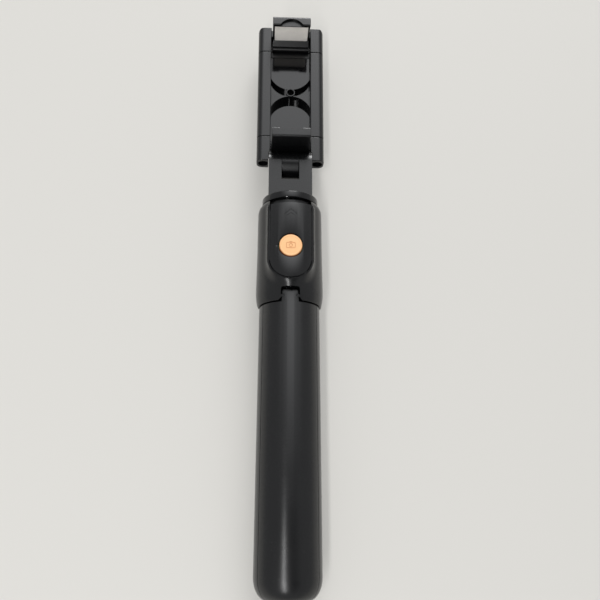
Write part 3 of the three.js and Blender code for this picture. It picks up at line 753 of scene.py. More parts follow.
def leg_shell():
    """A third of the handle, hollow inside between its ribs."""
    steps = 60
    floor = 4.2
    start = math.radians(-60 + LEG_SLIT)
    sweep = math.radians(120 - 2 * LEG_SLIT)
    profile = [(0, FOOT_END)]
    rounds = 18
    for i in range(rounds + 1):
        a = i / rounds * math.pi / 2
        radius = FOOT_FLAT_R + (LEG_FOOT_R - FOOT_FLAT_R) * math.sin(a)
        profile.append((radius, FOOT_ROUND - (FOOT_ROUND - FOOT_END) * math.cos(a)))
    profile.append((LEG_TOP_R, LEG_TOP))
    stations = sorted((y for bay in LEG_BAYS for y in bay), reverse=True)
    profile += [(LEG_INNER_R, y) for y in (LEG_TOP, *stations, floor)]
    profile.append((0, floor))
    bm = bmesh.new()
    ring = [bm.verts.new((r * math.sin(start), y, r * math.cos(start))) for r, y in profile]
    bm.faces.new(ring)
    geom = bm.verts[:] + bm.edges[:] + bm.faces[:]
    bmesh.ops.spin(
        bm, geom=geom, cent=(0, 0, 0), axis=(0, 1, 0), angle=sweep, steps=steps, use_merge=False
    )
    tidy(bm)
    wall = 5 * sweep / steps
    for low, high in LEG_BAYS:
        hollow = []
        for face in bm.faces:
            c = face.calc_center_median()
            inside = abs(math.hypot(c.x, c.z) - LEG_INNER_R) < 0.2
            turn = abs(math.atan2(c.x, c.z))
            if inside and low < c.y < high and turn < sweep / 2 - wall:
                hollow.append(face)
        made = bmesh.ops.extrude_face_region(bm, geom=hollow)
        bmesh.ops.delete(bm, geom=hollow, context="FACES")
        for v in moved_verts(made):
            grow = (leg_radius(v.co.y) - LEG_WALL) / math.hypot(v.co.x, v.co.z)
            v.co.x *= grow
            v.co.z *= grow
    return tidy(bm)


def leg_tab():
    """The hinge tab at the leg's top: a neck flush with the handle and a barrel round the pin."""
    low = HINGE_R - KNUCKLE_R
    top = HINGE_Y + KNUCKLE_R
    side = [(LEG_TOP - 4, low), (top, low), (top, 17.2), (LEG_TOP - 4, 17.2)]
    tab = prism("X", side, (-TAB_HALF, TAB_HALF), rounds=(0, 2.85, 2.2, 0), steps=10)
    crown = turned([(0, 130), (LEG_TOP_R, 130), (LEG_TOP_R, 150), (0, 150)], 180)
    tab = meet(tab, crown)
    return soften(tab, 0.25, 3, 40, where=lambda c: c.y > LEG_TOP)


def pad_sector(radius, inset, span):
    """A third of a disc in the flat end of the foot."""
    bm = bmesh.new()
    start = math.radians(-60)
    apex = inset / math.sin(math.radians(60))
    arc = [bm.verts.new((0, span[0], apex))]
    arc.append(bm.verts.new((radius * math.sin(start), span[0], apex + radius * math.cos(start))))
    line = bm.edges.new(arc)
    bmesh.ops.spin(
        bm,
        geom=[*arc, line],
        cent=(0, 0, apex),
        axis=(0, 1, 0),
        angle=math.radians(120),
        steps=24,
        use_merge=False,
    )
    bmesh.ops.remove_doubles(bm, verts=bm.verts, dist=MEET)
    bmesh.ops.dissolve_limit(bm, angle_limit=0.01, verts=bm.verts, edges=bm.edges)
    made = bmesh.ops.extrude_face_region(bm, geom=bm.faces[:])
    bmesh.ops.translate(bm, vec=(0, span[1] - span[0], 0), verts=moved_verts(made))
    return tidy(bm)


def make_legs():
    for side, turn in LEG_TURNS.items():
        shell = cut(leg_shell(), pad_sector(7.3, 1, (-1, 1.9)))
        edge = sizes().handle_edge / MM
        outer = lambda c: math.hypot(c.x, c.z) > LEG_INNER_R + 0.5 or c.y < 3
        soften(shell, edge, 3, 50, where=outer)
        leg = join(shell, leg_tab())
        leg = cut(leg, bar("X", HINGE_BORE_R, (-9, 9), (HINGE_Y, HINGE_R)))
        turn_about_axis(leg, turn)
        body = "leg_" + side
        piece("handle_" + side, leg, body, body, "satin_black", angle=38)
        pad = pad_sector(6.9, 1.3, (0, 1.6))
        soften(pad, 0.3, 3)
        turn_about_axis(pad, turn)
        piece("sole_" + side, pad, body, "foot_pad_" + side, "foot_rubber")


# ---------- head ----------
def cheek_height(x, z, y):
    """How far the raised cheeks take over from the round head at a point on its skin: 0 to 1."""
    crest = sizes().cheek_crest / MM
    foot = sizes().cheek_foot / MM
    turn = math.atan2(x, z)
    radius = crown_radius(turn)
    across = abs(radius * math.sin(turn))
    below = max(REMOTE_ROUND_Y + CREST_DROP - y, 0)
    away = math.hypot(across, below)
    downward = (below / away) ** 2 if away else 0
    spread = foot - crest + 2.6 * downward
    top = 1 - smooth_step((y - 191.6) / 2.6)
    rise = 1 - min(max((away - crest) / spread, 0.0), 1.0)
    return (rise**2.3 * (1 - downward) + smooth_step(rise) * downward) * top


def crown_radius(turn):
    """The distance of the remote's curved face from the stick's axis."""
    return CROWN_Z * math.cos(turn) + math.sqrt(CROWN_R**2 - (CROWN_Z * math.sin(turn)) ** 2)


def head_blank():
    """The head's skin with its raised cheeks, round a cavity for the pole."""
    count = 76
    skin = []
    for i in range(count + 1):
        y = HEAD_BOTTOM + (HEAD_TOP - HEAD_BOTTOM) * i / count
        skin.append((along_profile(HEAD_PROFILE, y), y))
    inside = [
        (HEAD_BORE_R, HEAD_TOP),
        (HEAD_BORE_R, HEAD_TOP - 2),
        (HEAD_CAVITY_R, HEAD_TOP - 2),
        (HEAD_CAVITY_R, 149),
        (HEAD_BORE_R, 149),
        (HEAD_BORE_R, HEAD_BOTTOM),
    ]
    bm = turned(skin + inside, 288, on_axis=False)
    for v in bm.verts:
        radius = math.hypot(v.co.x, v.co.z)
        if radius < HEAD_CAVITY_R + 0.5 or v.co.z < 0:
            continue
        share_ = cheek_height(v.co.x, v.co.z, v.co.y)
        if share_ > 0:
            grow = 1 + share_ * (crown_radius(math.atan2(v.co.x, v.co.z)) / radius - 1)
            v.co.x *= grow
            v.co.z *= grow
    return bm


def hinge_room(turn):
    """The notch for a leg's tab and the seat of its pin."""
    half = TAB_HALF + 0.5
    low, top = HEAD_BOTTOM - 3, 147.8
    flare = 1.3
    outline = [
        (-half - flare - 3, low),
        (half + flare + 3, low),
        (half + flare + 3, HEAD_BOTTOM),
        (half + flare, HEAD_BOTTOM),
        (half, HEAD_BOTTOM + flare),
        (half, top),
        (-half, top),
        (-half, HEAD_BOTTOM + flare),
        (-half - flare, HEAD_BOTTOM),
        (-half - flare - 3, HEAD_BOTTOM),
    ]
    rounds = (0, 0, 0, 0, 0, 1.0, 1.0, 0, 0, 0)
    notch = prism("Z", outline, (9, 21), rounds=rounds)
    seat = join(notch, bar("X", 1.2, (-6.2, 6.2), (HINGE_Y, HINGE_R), 24))
    return turn_about_axis(seat, turn)


def remote_bay():
    """The room for the remote, open at its top, down to the collar's sleeve."""
    room = stadium(REMOTE_HALF + BAY_GAP, REMOTE_ROUND_Y, HEAD_TOP + 4, (5, 24), 128)
    return cut(room, bar("Y", BAY_BACK_R, (140, 210), sides=128))


def crest_line():
    """The fine groove between the bay's rim and the cheeks."""
    half = REMOTE_HALF + BAY_GAP + CREST_DROP
    middle = REMOTE_ROUND_Y + CREST_DROP - CREST_CLEAR
    return cut(
        stadium(half, middle, 191, (9, 24), 128),
        stadium(half - 0.25, middle, 192, (8, 25), 128),
        crown_band(CROWN_R - 0.35, 0, (140, 210)),
    )


def make_head():
    blank = head_blank()
    soften(blank, 0.4, 3, 50)
    grooves = both_sides(block((REMOTE_HALF, 11.5), (162.2, 204), (12.5, 14.1)))
    rooms = [hinge_room(turn) for turn in LEG_TURNS.values()]
    holes = []
    for y in SCREW_ROWS.values():
        holes.append(both_sides(bar("Z", 1.1, (-9, 4), (SCREW_X, y), 32)))
        holes.append(both_sides(bar("Z", 1.7, (-12, -4.2), (SCREW_X, y), 32)))
    flat = block((-20, 20), (100, 220), (-40, HEAD_FLAT_Z))
    mouth = cut(
        block((-REMOTE_HALF - BAY_GAP, REMOTE_HALF + BAY_GAP), (192.4, 204), (5, 24)),
        bar("Y", 12.8, (180, 210), sides=96),
    )
    whole = cut(blank, remote_bay(), mouth)
    whole = cut(whole, crest_line(), grooves)
    whole = cut(whole, *rooms)
    whole = cut(whole, *holes, flat)
    halves = {
        "front": block((-30, 30), (100, 220), (SHELL_SPLIT, 40)),
        "rear": block((-30, 30), (100, 220), (-40, -SHELL_SPLIT)),
    }
    for side, half in halves.items():
        shell = meet(whole.copy(), half)
        node = f"head_{side}_shell"
        piece("head_" + side, shell, "head", node, "satin_black", sizes().head_edge)
    whole.free()
    for row, y in SCREW_ROWS.items():
        for side, x in (("right", SCREW_X), ("left", -SCREW_X)):
            screw = shift(cross_screw(1.4, 0.8, (-6.2, 3.5), 1.6), (x, y, 0))
            name = f"{side}_{row}"
            piece("case_screw_" + name, screw, "head", "head_screw_" + name, "steel")


def cross_screw(head_r, shank_r, span, head_depth):
    """A pan-head screw along z, its cross-slotted head at the low end."""
    low = span[0]
    head = bar("Z", head_r, (low, low + head_depth), sides=32, edge=0.25)
    shank = bar("Z", shank_r, (low + head_depth / 2, span[1]), sides=24)
    arm = head_r * 0.62
    slots = [
        block((-arm, arm), (-0.16, 0.16), (low - 1, low + 0.6)),
        block((-0.16, 0.16), (-arm, arm), (low - 1, low + 0.6)),
    ]
    return cut(join(head, shank), *slots)


# ---------- remote ----------
def crown_band(outer, inner, span):
    """A round sleeve about the crown's own axis."""
    shell = bar("Y", outer, span, (0, CROWN_Z), 240)
    if not inner:
        return shell
    return cut(shell, bar("Y", inner, longer(span), (0, CROWN_Z), 240))


def chevron(apex, half, drop, width, span):
    """One upward chevron as a bar of constant width."""
    slope = math.hypot(half, drop)
    thick = width * slope / half
    outline = [
        (0, apex),
        (half, apex - drop),
        (half, apex - drop - thick),
        (0, apex - thick),
        (-half, apex - drop - thick),
        (-half, apex - drop),
    ]
    return prism("Z", outline, span)


def ring_tool(outer, inner, centre, span, sides=48):
    return cut(bar("Z", outer, span, centre, sides), bar("Z", inner, longer(span), centre, sides))


def make_remote():
    sleeve = crown_band(CROWN_R, CROWN_R - 1, (140, 205))
    cover = meet(sleeve, stadium(REMOTE_HALF - 0.12, REMOTE_ROUND_Y, REMOTE_TOP, (5, 24), 128))
    button_hole = bar("Z", BUTTON_R + 0.35, (10, 24), (0, BUTTON_Y), 96)
    light_hole = bar("Z", LIGHT_HOLE_R, (10, 24), (LIGHT_X, BUTTON_Y), 32)
    cover = cut(cover, button_hole, light_hole)
    soften(cover, 0.14, 3, 40)
    proud = sizes().chevron_height / MM
    marks = join(
        chevron(189.2, 3.3, 2.7, 0.6, (18, 22)),
        chevron(187.2, 1.9, 1.55, 0.6, (18, 22)),
    )
    marks = meet(marks, crown_band(CROWN_R + proud, CROWN_R - 0.5, (180, 195)))
    cover = join(cover, marks)
    piece("remote_face", cover, "remote", "remote_cover", "satin_black", angle=30)
    make_button()


def make_button():
    """The shutter button: a shallow dish inside a raised rim, with a camera sign cut into it."""
    top = BUTTON_TOP
    profile = [(r, top - drop) for r, drop in BUTTON_FACE]
    profile += [(BUTTON_FACE[-1][0], BUTTON_BACK), (0, BUTTON_BACK)]
    cap = turned(profile, 128)
    upright = Matrix.Rotation(math.pi / 2, 3, "X")
    bmesh.ops.rotate(cap, verts=cap.verts, cent=(0, 0, 0), matrix=upright)
    shift(cap, (0, BUTTON_Y, 0))
    deep = top - 0.16 - sizes().engraving / MM
    span = (deep, top + 1)
    wide, high, stroke = 2.35, 1.55, 0.3
    y = BUTTON_Y - 0.1
    body = prism("Z", oblong(wide, y - high, y + high), span, rounds=(0.6,) * 4)
    core = oblong(wide - stroke, y - high + stroke, y + high - stroke)
    core = prism("Z", core, longer(span), rounds=(0.4,) * 4)
    sign = cut(body, core)
    finder = block((-0.75, 0.75), (y + high - 0.05, y + high + 0.4), span)
    eye = ring_tool(0.95, 0.65, (0, y), span)
    cap = cut(cap, sign, finder, eye)
    lugs = block((-1.5, 1.5), (BUTTON_Y - 7.2, BUTTON_Y + 7.2), (17.9, 18.5))
    cap = join(cap, lugs)
    pair = ("button_peach", "button_sign")
    made = piece("shutter_cap", cap, "button", "shutter_button", pair[0], angle=40, coats=pair)
    middle = TO_FRAME @ Vector((0, BUTTON_Y, deep + 0.03))
    for face in made.data.polygons:
        away = face.center - middle
        near = abs(away.x) < SIGN_REACH and abs(away.y) < SIGN_REACH
        if near and away.z < 0 and face.normal.z > 0.5:
            face.material_index = 1


# ---------- pole ----------
def make_pole():
    """Seven thin tubes, each crimped at its mouth and flared at its foot."""
    for k in range(TUBE_COUNT):
        r = TUBE_R - k
        foot = TUBE_BOTTOM + k
        flare = TUBE_LIP if k else 0
        crimp = TUBE_LIP if k < TUBE_COUNT - 1 else 0
        bore = r - TUBE_WALL
        profile = [
            (bore, foot + 0.15),
            (bore + 0.12, foot),
            (r + flare - 0.12, foot),
            (r + flare, foot + 0.15),
            (r + flare, foot + 6),
            (r, foot + 6.6),
            (r, TUBE_TOP - 2.6),
            (r - crimp * 0.35, TUBE_TOP - 1.9),
            (r - crimp * 0.6, TUBE_TOP - 0.2),
            (r - crimp * 0.6 - 0.12, TUBE_TOP),
            (bore - crimp + 0.12, TUBE_TOP),
            (bore - crimp, TUBE_TOP - 0.15),
            (bore - crimp, TUBE_TOP - 1.9),
            (bore, TUBE_TOP - 2.6),
        ]
        node = f"tube_{k + 1}"
        body = "head" if k == 0 else node
        tube = turned(profile, 72, on_axis=False)
        piece(f"pole_{k + 1}", tube, body, node, "tube_metal", angle=50)


# ---------- swivel and tilt ----------
def make_swivel():
    profile = [
        (1.55, 186),
        (3.1, 186),
        (3.1, COLLAR_BOTTOM),
        (COLLAR_R, COLLAR_BOTTOM),
        (COLLAR_R, COLLAR_TOP),
        (1.55, COLLAR_TOP),
    ]
    collar = turned(profile, 144, on_axis=False)
    soften(collar, 0.5, 5, 50)
    piece("collar_ring", collar, "tube_7", "swivel_collar", "gloss_black", angle=50)


def make_fork():
    top = TILT_Y + TILT_R
    side = corners(YOKE_BOTTOM, top, -TILT_R, TILT_R)
    rounds = (0, TILT_ROUND, TILT_ROUND, 0)
    blank = prism("X", side, (-YOKE_HALF, YOKE_HALF), rounds=rounds, steps=24)
    face = oblong(YOKE_HALF, YOKE_BOTTOM - 1, top)
    blank = meet(blank, prism("Z", face, (-9, 9), rounds=(0, 0, 2.2, 2.2), steps=8))
    slot = block((-YOKE_SLOT, YOKE_SLOT), (YOKE_SLOT_FLOOR, top + 5), (-20, 20))
    fork = cut(
        blank,
        slot,
        bar("Y", 9.3, (YOKE_BOTTOM - 2, YOKE_BOTTOM + 1), sides=64),
        bar("Y", 1.55, (195, 215), sides=32),
        bar("Y", 2.9, (206.7, 215), sides=48),
        bar("X", TILT_BORE_R, (-20, 20), (TILT_Y, 0), 48),
        bar("X", TILT_HEAD_R + 0.3, (YOKE_HALF - 2.8, 20), (TILT_Y, 0), 64),
        bar("X", TILT_HEAD_R, (-20, -YOKE_HALF + 2.8), (TILT_Y, 0), 6),
    )
    piece("fork", fork, "yoke", "yoke", "satin_black", sizes().fork_edge, 3)
    head = bar("X", TILT_HEAD_R, (YOKE_HALF - 2.5, YOKE_HALF - 0.3), (TILT_Y, 0), 64, edge=0.3)
    shank = bar("X", 2, (-YOKE_HALF + 0.3, YOKE_HALF - 1), (TILT_Y, 0), 48)
    socket = bar("X", 1.5, (YOKE_HALF - 1.5, YOKE_HALF), (TILT_Y, 0), 6)
    bolt = cut(join(head, shank), socket)
    piece("tilt_screw", bolt, "yoke", "tilt_bolt", "steel", 0.1 * MM)
    nut = bar("X", 3.4, (-YOKE_HALF + 0.4, -YOKE_HALF + 2.5), (TILT_Y, 0), 6, edge=0.25)
    nut = cut(nut, bar("X", TILT_BORE_R, (-20, 0), (TILT_Y, 0), 48))
    piece("tilt_hex_nut", nut, "yoke", "tilt_nut", "steel")


# ---------- clamp ----------
def rail(span, edge=0.3):
    """One side rail: flat towards the phone's back, round outside."""
    outline = corners(RAIL_IN, CLAMP_HALF, RAIL_BACK, RAIL_FRONT)
    bm = prism("Y", outline, span, rounds=(0.5, 3.2, 3.2, 0.5), steps=10)
    return soften(bm, edge, 3, 50)


def rails(span):
    return both_sides(rail(span))


def rail_bores(radius, span, sides=48):
    return both_sides(bar("Y", radius, span, (RAIL_X, RAIL_BORE_Z), sides))


def jaw_pin_bore(y, z, reach=12.6):
    return bar("X", 0.7, (-reach, reach), (y, z), 24)


def bracket_screw_holes():
    return join(
        both_sides(bar("Y", 0.95, (220, 245), (8.6, -5.5), 24)),
        both_sides(bar("Y", 1.6, (220, 232.6), (8.6, -5.5), 32)),
    )


def arc_plate(half, start, end, zs, radius=ARC_R, sides=160):
    """A plate across the channel from start to a round end."""
    ahead = 1 if end > start else -1
    centre = end - ahead * radius
    disc = bar("Z", radius, zs, (0, centre), sides)
    far = start - ahead * 40
    strip = block((-half, half), sorted((far, end + ahead)), zs)
    disc = meet(disc, strip)
    if ahead * (centre - start) > 0:
        disc = join(disc, block((-half, half), sorted((start, centre)), zs))
    keep = block((-40, 40), sorted((start, end + ahead * 5)), longer(zs))
    return meet(disc, keep)


def polish_channel(obj):
    """Gives the polished floor between the rails the second finish of the piece."""
    half = RAIL_IN * MM - 0.0001
    level = (FLOOR_Z - HEAD_FLAT_Z + 0.2) * MM
    for face in obj.data.polygons:
        if abs(face.center.x) < half and face.center.z < level and face.normal.z > -0.5:
            face.material_index = 1


def make_clamp_foot():
    floor_start = TILT_Y + TILT_R + 0.5
    half = YOKE_SLOT - 0.12
    floor = block(
        (-RAIL_IN - 1, RAIL_IN + 1), (floor_start, SEAM_LOW), (-TILT_R, BRACKET_FLOOR_Z), 0.25
    )
    step = block((-RAIL_IN - 1, RAIL_IN + 1), (JAW_LOW_Y + 2, SEAM_LOW), (-4, FLOOR_Z))
    side = [
        (TILT_Y - TILT_R, -TILT_R),
        (floor_start + 3, -TILT_R),
        (floor_start + 3, BRACKET_FLOOR_Z),
        (TILT_Y + TILT_R, BRACKET_FLOOR_Z),
        (TILT_Y + TILT_R, TILT_R),
        (TILT_Y - TILT_R, TILT_R),
    ]
    rounds = (TILT_ROUND, 0, 0, 0, TILT_ROUND, TILT_ROUND)
    knuckle = prism("X", side, (-half, half), rounds=rounds, steps=20)
    soften(knuckle, 0.35, 3, 50)
    reach = YOKE_HALF + 0.4
    room = join(
        bar("X", TILT_R + 0.4, (-reach, reach), (TILT_Y, 0), 96),
        block((-reach, reach), (TILT_Y - 2, TILT_Y + TILT_R + 0.4), (-20, 0)),
    )
    body = cut(join(rails((CLAMP_BOTTOM, SEAM_LOW)), floor, step), room)
    body = cut(
        join(body, knuckle),
        rail_bores(RAIL_BORE_R, (220, 240)),
        rail_bores(RAIL_BORE_R + 0.4, (220, CLAMP_BOTTOM + 3)),
        bar("X", TILT_BORE_R, (-9, 9), (TILT_Y, 0), 48),
        jaw_pin_bore(JAW_LOW_Y, JAW_Z),
        bracket_screw_holes(),
    )
    edge = sizes().clamp_edge
    piece("clamp_foot", body, "clamp", "clamp_lower_bracket", "satin_black", edge, 3)


def make_clamp_frame():
    y0, y1 = SEAM_LOW + 0.3, SEAM_HIGH - 0.3
    half = RAIL_IN + 0.5
    low = RECESS_Z - 0.5
    tray = cut(
        block((-half - 1, half + 1), (y0, y1), (BACK_Z, RAIL_BACK + 1), 0.3),
        block((-RAIL_IN, RAIL_IN), longer((y0, y1)), (RECESS_Z, 0)),
    )
    tongue = arc_plate(half, y1, TONGUE_END, (low, FLOOR_Z))
    disc = arc_plate(half, y0, DISC_END, (low, FLOOR_Z))
    opening = arc_plate(half, 250, WEB_LOW_END, (-20, 20))
    sides = cut(
        block((-half, half), (255, 279), (low, WEB_Z)),
        arc_plate(half, 290, WEB_HIGH_END, (-20, 20), WEB_HIGH_R),
    )
    wall = arc_plate(half, 255, WEB_LOW_END + WEB_WALL, (low, WEB_Z), ARC_R + WEB_WALL)
    web = cut(join(sides, wall), opening)
    ring = bar("Z", RING_R, (low, WEB_Z + 0.5), (0, RING_Y), 64)
    body = join(rails((y0, y1)), tray, tongue, disc, web, ring)
    shoulder = y1 - 3
    body = cut(
        body,
        rail_bores(RAIL_BORE_R, (y0 - 1, shoulder)),
        rail_bores(1.5, (shoulder - 1, y1 + 1)),
        bar("Z", RING_HOLE_R, (RECESS_Z + 1, 10), (0, RING_Y), 64),
        bracket_screw_holes(),
    )
    edge = sizes().clamp_edge
    pair = ("satin_black", "gloss_black")
    made = piece("clamp_frame", body, "clamp", "clamp_body", pair[0], edge, 3, coats=pair)
    polish_channel(made)


def make_clamp_head():
    outline = oblong(CLAMP_HALF, SEAM_HIGH, LENGTH)
    corner = prism("Z", outline, (-20, 20), rounds=(0, 0, 2.6, 2.6), steps=10)
    ends = meet(rails((SEAM_HIGH, LENGTH)), corner)
    half = RAIL_IN + 0.5
    top = LENGTH - 0.3
    floor = block((-half, half), (SEAM_HIGH, top), (RAIL_BACK, BRACKET_FLOOR_Z))
    sill = block((-half, half), (SEAM_HIGH, SEAM_HIGH + 1.3), (-4, FLOOR_Z))
    arms = both_sides(block((RAIL_IN - 0.8, half), (SEAM_HIGH, SEAM_HIGH + 3), (-4, FLOOR_Z)))
    stop = block((-half, half), (JAW_HIGH_Y + JAW_BACK + 0.4, top), (-4, 1.5))
    body = cut(
        join(ends, floor, sill, arms, stop),
        rail_bores(1.5, (SEAM_HIGH - 1, 303.5)),
        jaw_pin_bore(JAW_HIGH_Y, JAW_Z),
    )
    piece("clamp_head", body, "clamp_top", "clamp_top_bracket", "satin_black", 0.18 * MM)


# ---------- jaws ----------
def jaw():
    """A jaw standing on its hinge, with its outer face towards -y."""
    outer = -JAW_BACK
    grip = outer + JAW_PLATE
    lip = grip + JAW_LIP_OUT
    side = [
        (outer, -1.3),
        (0, -1.3),
        (0, 2.4),
        (grip, 4.2),
        (grip, JAW_TIP - JAW_LIP_HIGH),
        (lip, JAW_TIP - JAW_LIP_HIGH + 0.4),
        (lip, JAW_TIP),
        (outer, JAW_TIP),
    ]
    rounds = (1.0, 0, 0.4, 0.8, 0.5, 0.5, 0.7, 1.1)
    plate = prism("X", side, (-JAW_HALF, JAW_HALF), rounds=rounds, steps=5)
    soften(plate, 0.4, 3, 60)
    barrel = bar("X", 1.3, (-JAW_HALF, JAW_HALF), (0, 0), 48)
    scoop = (JAW_TIP - SCALLOP_DEEP, JAW_TIP + 5)
    scallop = bar("Z", SCALLOP_R, scoop, (0, grip + 6.3), 96)
    ribs = [
        block((-JAW_HALF + 1.2, JAW_HALF - 1.2), (grip - 1, grip + 0.35), (z, z + 0.45), 0.12)
        for z in (4.35, 3.55)
    ]
    return cut(join(plate, barrel, *ribs), scallop, jaw_pin_bore(0, 0, 15))


def jaw_pad():
    """A soft pad with fine grip lines across it."""
    grip = -JAW_BACK + JAW_PLATE
    low, high = 4.8, JAW_TIP - JAW_LIP_HIGH - 0.3
    face = oblong(9.3, low, high)
    pad = prism("Y", face, (grip + 0.05, grip + 0.9), rounds=(0.7,) * 4, steps=4)
    soften(pad, 0.25, 3, 50)
    lines = [
        block((-8.6, 8.6), (grip + 0.8, grip + 2), (z, z + 0.22))
        for z in [low + 1.3 + 1.15 * i for i in range(11)]
    ]
    return cut(pad, *lines)


def make_jaws():
    places = {"lower": (JAW_LOW_Y, 1), "upper": (JAW_HIGH_Y, -1)}
    for name, (y, way) in places.items():
        for shape, prefix, suffix, slot, edge in (
            (jaw(), "phone_jaw_", "_jaw", "satin_black", 0.12 * MM),
            (jaw_pad(), "grip_pad_", "_jaw_pad", "jaw_rubber", 0.0),
        ):
            if way < 0:
                bmesh.ops.scale(shape, vec=(1, -1, 1), verts=shape.verts)
            shift(shape, (0, y, JAW_Z))
            piece(prefix + name, shape, name + "_jaw", name + suffix, slot, edge)


# ---------- nodes kept as they are ----------
KEPT_FINISHES = {
    "leg_pin_front": "dark_steel",
    "leg_pin_right": "dark_steel",
    "leg_pin_left": "dark_steel",
    "lower_jaw_pin": "dark_steel",
    "upper_jaw_pin": "dark_steel",
    "remote_case": "satin_black",
    "tube_socket": "satin_black",
    "circuit_board": "board_green",
    "dome_switch": "steel",
    "coin_cell": "steel",
    "light_pipe": "clear_lens",
}


def finish_kept_nodes():
    for name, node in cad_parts.items():
        if node.hide_render:
            continue
        finish = KEPT_FINISHES.get(name, "steel")
        node.data.materials.clear()
        node.data.materials.append(bpy.data.materials[OWN + finish])
        node.data.shade_smooth()
        node.data.set_sharp_from_angle(angle=math.radians(35))


# ---------- stage ----------
CAMERA_PLACE = (-0.01163, -0.11846, 0.38893)
CAMERA_TURN = (16.54, -2.66, 0.07)
CAMERA_LENS = 45
CAMERA_SENSOR = 36
FLOOR_HALF = 3.0
SKY_COLOUR = (0.975, 0.985, 1.0, 1)
WINDOW_AIM = (0.06, 0.67, 0.743)
WINDOW_FALL = 2.5  # how quickly the window fades towards its rim
WINDOW_LEVEL = 2.1
OVERHEAD_AIM = (0.0, -0.3, 1.0)
OVERHEAD_LEVEL = 0.12
WALL_LEVEL = 0.5


def area_lamp(name, place, aim, size, watts):
    data = bpy.data.lights.new(name, "AREA")
    data.shape = "DISK"
    data.size = size
    data.energy = watts
    lamp = bpy.data.objects.new(name, data)
    lamp.location = place
    lamp.rotation_euler = (Vector(aim) - Vector(place)).to_track_quat("-Z", "Y").to_euler()
    bpy.context.scene.collection.objects.link(lamp)
    return lamp


def make_world():
    """Soft light all round, rising to a broad window beyond the clamp and falling overhead."""
    world = bpy.data.worlds.new("studio")
    world.use_nodes = True
    bpy.context.scene.world = world
    tree = world.node_tree
    background = tree.nodes["Background"]
    place = tree.nodes.new("ShaderNodeTexCoord")

    def patch(centre, outer, inner, low, high, kind="LINEAR"):
        """A round patch in the sky, from its outer and inner radius in degrees."""
        aim = tree.nodes.new("ShaderNodeVectorMath")
        aim.operation = "DOT_PRODUCT"
        tree.links.new(place.outputs["Generated"], aim.inputs[0])
        aim.inputs[1].default_value = Vector(centre).normalized()
        ramp = tree.nodes.new("ShaderNodeMapRange")
        ramp.interpolation_type = kind
        ramp.inputs["From Min"].default_value = math.cos(math.radians(outer))
        ramp.inputs["From Max"].default_value = math.cos(math.radians(inner))
        ramp.inputs["To Min"].default_value = low
        ramp.inputs["To Max"].default_value = high
        tree.links.new(aim.outputs["Value"], ramp.inputs["Value"])
        return ramp.outputs["Result"]

    def reckon(operation, first, second):
        made = tree.nodes.new("ShaderNodeMath")
        made.operation = operation
        for socket, value in zip(made.inputs, (first, second)):
            if isinstance(value, float):
                socket.default_value = value
            else:
                tree.links.new(value, socket)
        return made.outputs[0]

    window = patch(WINDOW_AIM, 45, 5, 0.0, 1.0)
    window = reckon("MULTIPLY", reckon("POWER", window, WINDOW_FALL), WINDOW_LEVEL)
    walls = patch(OVERHEAD_AIM, 45, 14, WALL_LEVEL, OVERHEAD_LEVEL, "SMOOTHSTEP")
    tree.links.new(reckon("ADD", window, walls), background.inputs["Strength"])
    background.inputs["Color"].default_value = SKY_COLOUR


def make_stage():
    scene = bpy.context.scene
    bm = bmesh.new()
    bmesh.ops.create_grid(bm, x_segments=1, y_segments=1, size=FLOOR_HALF)
    mesh = bpy.data.meshes.new("floor")
    bm.to_mesh(mesh)
    bm.free()
    mesh.materials.append(tabletop_finish())
    floor = bpy.data.objects.new("floor", mesh)
    scene.collection.objects.link(floor)
    strip = area_lamp("strip", (-0.25, -0.7, 1.0), (-0.25, -0.7, 0), 0.09, 7.5)
    strip.data.shape = "RECTANGLE"
    strip.data.size_y = 1.1
    area_lamp("far", (0.2, 1.4, 0.7), (0.0, 0.3, 0.0), 0.7, 15.0)
    make_world()
    data = bpy.data.cameras.new("camera")
    data.lens = CAMERA_LENS
    data.sensor_width = CAMERA_SENSOR
    data.clip_start = 0.01
    camera = bpy.data.objects.new("camera", data)
    camera.location = CAMERA_PLACE
    camera.rotation_euler = [math.radians(angle) for angle in CAMERA_TURN]
    scene.collection.objects.link(camera)
    scene.camera = camera
    scene.view_settings.view_transform = "Standard"


# ---------- operators ----------
class MakeFinishes(bpy.types.Operator):
    """Makes the materials that the pieces share"""

    bl_idname = "selfie_stick.finishes"
    bl_label = "Finishes"
    bl_options = {"REGISTER", "UNDO"}

    def execute(self, context):
        make_finishes()
        return {"FINISHED"}


class MakeHandle(bpy.types.Operator):
    """Builds the three legs that close into the handle, with their rubber soles"""

    bl_idname = "selfie_stick.handle"
    bl_label = "Handle legs"
    bl_options = {"REGISTER", "UNDO"}

    def execute(self, context):
        make_legs()
        return {"FINISHED"}


class MakeHead(bpy.types.Operator):
    """Builds the two shells of the head and their screws"""

    bl_idname = "selfie_stick.head"
    bl_label = "Head"
    bl_options = {"REGISTER", "UNDO"}

    def execute(self, context):
        make_head()
        return {"FINISHED"}


class MakeRemote(bpy.types.Operator):
    """Builds the remote's cover with its chevrons and the shutter button"""

    bl_idname = "selfie_stick.remote"
    bl_label = "Remote"
    bl_options = {"REGISTER", "UNDO"}

    def execute(self, context):
        make_remote()
        return {"FINISHED"}


class MakePole(bpy.types.Operator):
    """Builds the seven tubes of the telescopic pole"""

    bl_idname = "selfie_stick.pole"
    bl_label = "Pole"
    bl_options = {"REGISTER", "UNDO"}

    def execute(self, context):
        make_pole()
        return {"FINISHED"}


class MakeSwivel(bpy.types.Operator):
    """Builds the glossy swivel collar, the fork and its tilt bolt and nut"""

    bl_idname = "selfie_stick.swivel"
    bl_label = "Swivel and fork"
    bl_options = {"REGISTER", "UNDO"}

    def execute(self, context):
        make_swivel()
        make_fork()
        return {"FINISHED"}


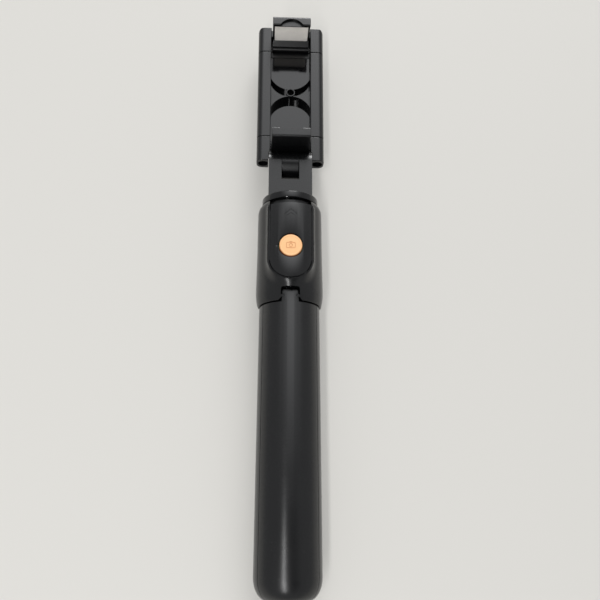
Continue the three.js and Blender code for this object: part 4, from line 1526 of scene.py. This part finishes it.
class MakeClamp(bpy.types.Operator):
    """Builds the three parts of the phone clamp"""

    bl_idname = "selfie_stick.clamp"
    bl_label = "Phone clamp"
    bl_options = {"REGISTER", "UNDO"}

    def execute(self, context):
        make_clamp_foot()
        make_clamp_frame()
        make_clamp_head()
        return {"FINISHED"}


class MakeJaws(bpy.types.Operator):
    """Builds the two folding jaws and their soft pads"""

    bl_idname = "selfie_stick.jaws"
    bl_label = "Jaws and pads"
    bl_options = {"REGISTER", "UNDO"}

    def execute(self, context):
        make_jaws()
        return {"FINISHED"}


class FinishKeptNodes(bpy.types.Operator):
    """Gives the part's small inner nodes their materials"""

    bl_idname = "selfie_stick.kept_nodes"
    bl_label = "Inner nodes"
    bl_options = {"REGISTER", "UNDO"}

    def execute(self, context):
        finish_kept_nodes()
        return {"FINISHED"}


class MakeStage(bpy.types.Operator):
    """Makes the tabletop, the lamps, the surroundings and the camera"""

    bl_idname = "selfie_stick.stage"
    bl_label = "Stage"
    bl_options = {"REGISTER", "UNDO"}

    def execute(self, context):
        make_stage()
        return {"FINISHED"}


OPERATORS = (
    MakeFinishes,
    MakeHandle,
    MakeHead,
    MakeRemote,
    MakePole,
    MakeSwivel,
    MakeClamp,
    MakeJaws,
    FinishKeptNodes,
    MakeStage,
)


class SelfieStickPanel(bpy.types.Panel):
    """Lists the selfie stick's settings and build steps"""

    bl_idname = "VIEW3D_PT_selfie_stick"
    bl_label = "Selfie stick"
    bl_space_type = "VIEW_3D"
    bl_region_type = "UI"
    bl_category = "Selfie Stick"

    def draw(self, context):
        for group in (context.scene.stick_sizes, context.scene.stick_finishes):
            box = self.layout.box()
            for name in group.__annotations__:
                box.prop(group, name)
        for operator in OPERATORS:
            self.layout.operator(operator.bl_idname)


CLASSES = (StickSizes, StickFinishes, *OPERATORS, SelfieStickPanel)


def register():
    for cls in CLASSES:
        bpy.utils.register_class(cls)
    bpy.types.Scene.stick_sizes = PointerProperty(type=StickSizes)
    bpy.types.Scene.stick_finishes = PointerProperty(type=StickFinishes)


def unregister():
    del bpy.types.Scene.stick_finishes
    del bpy.types.Scene.stick_sizes
    for cls in reversed(CLASSES):
        bpy.utils.unregister_class(cls)


def main():
    register()
    for operator in OPERATORS:
        group, name = operator.bl_idname.split(".")
        getattr(getattr(bpy.ops, group), name)()


if __name__ == "__main__":
    main()
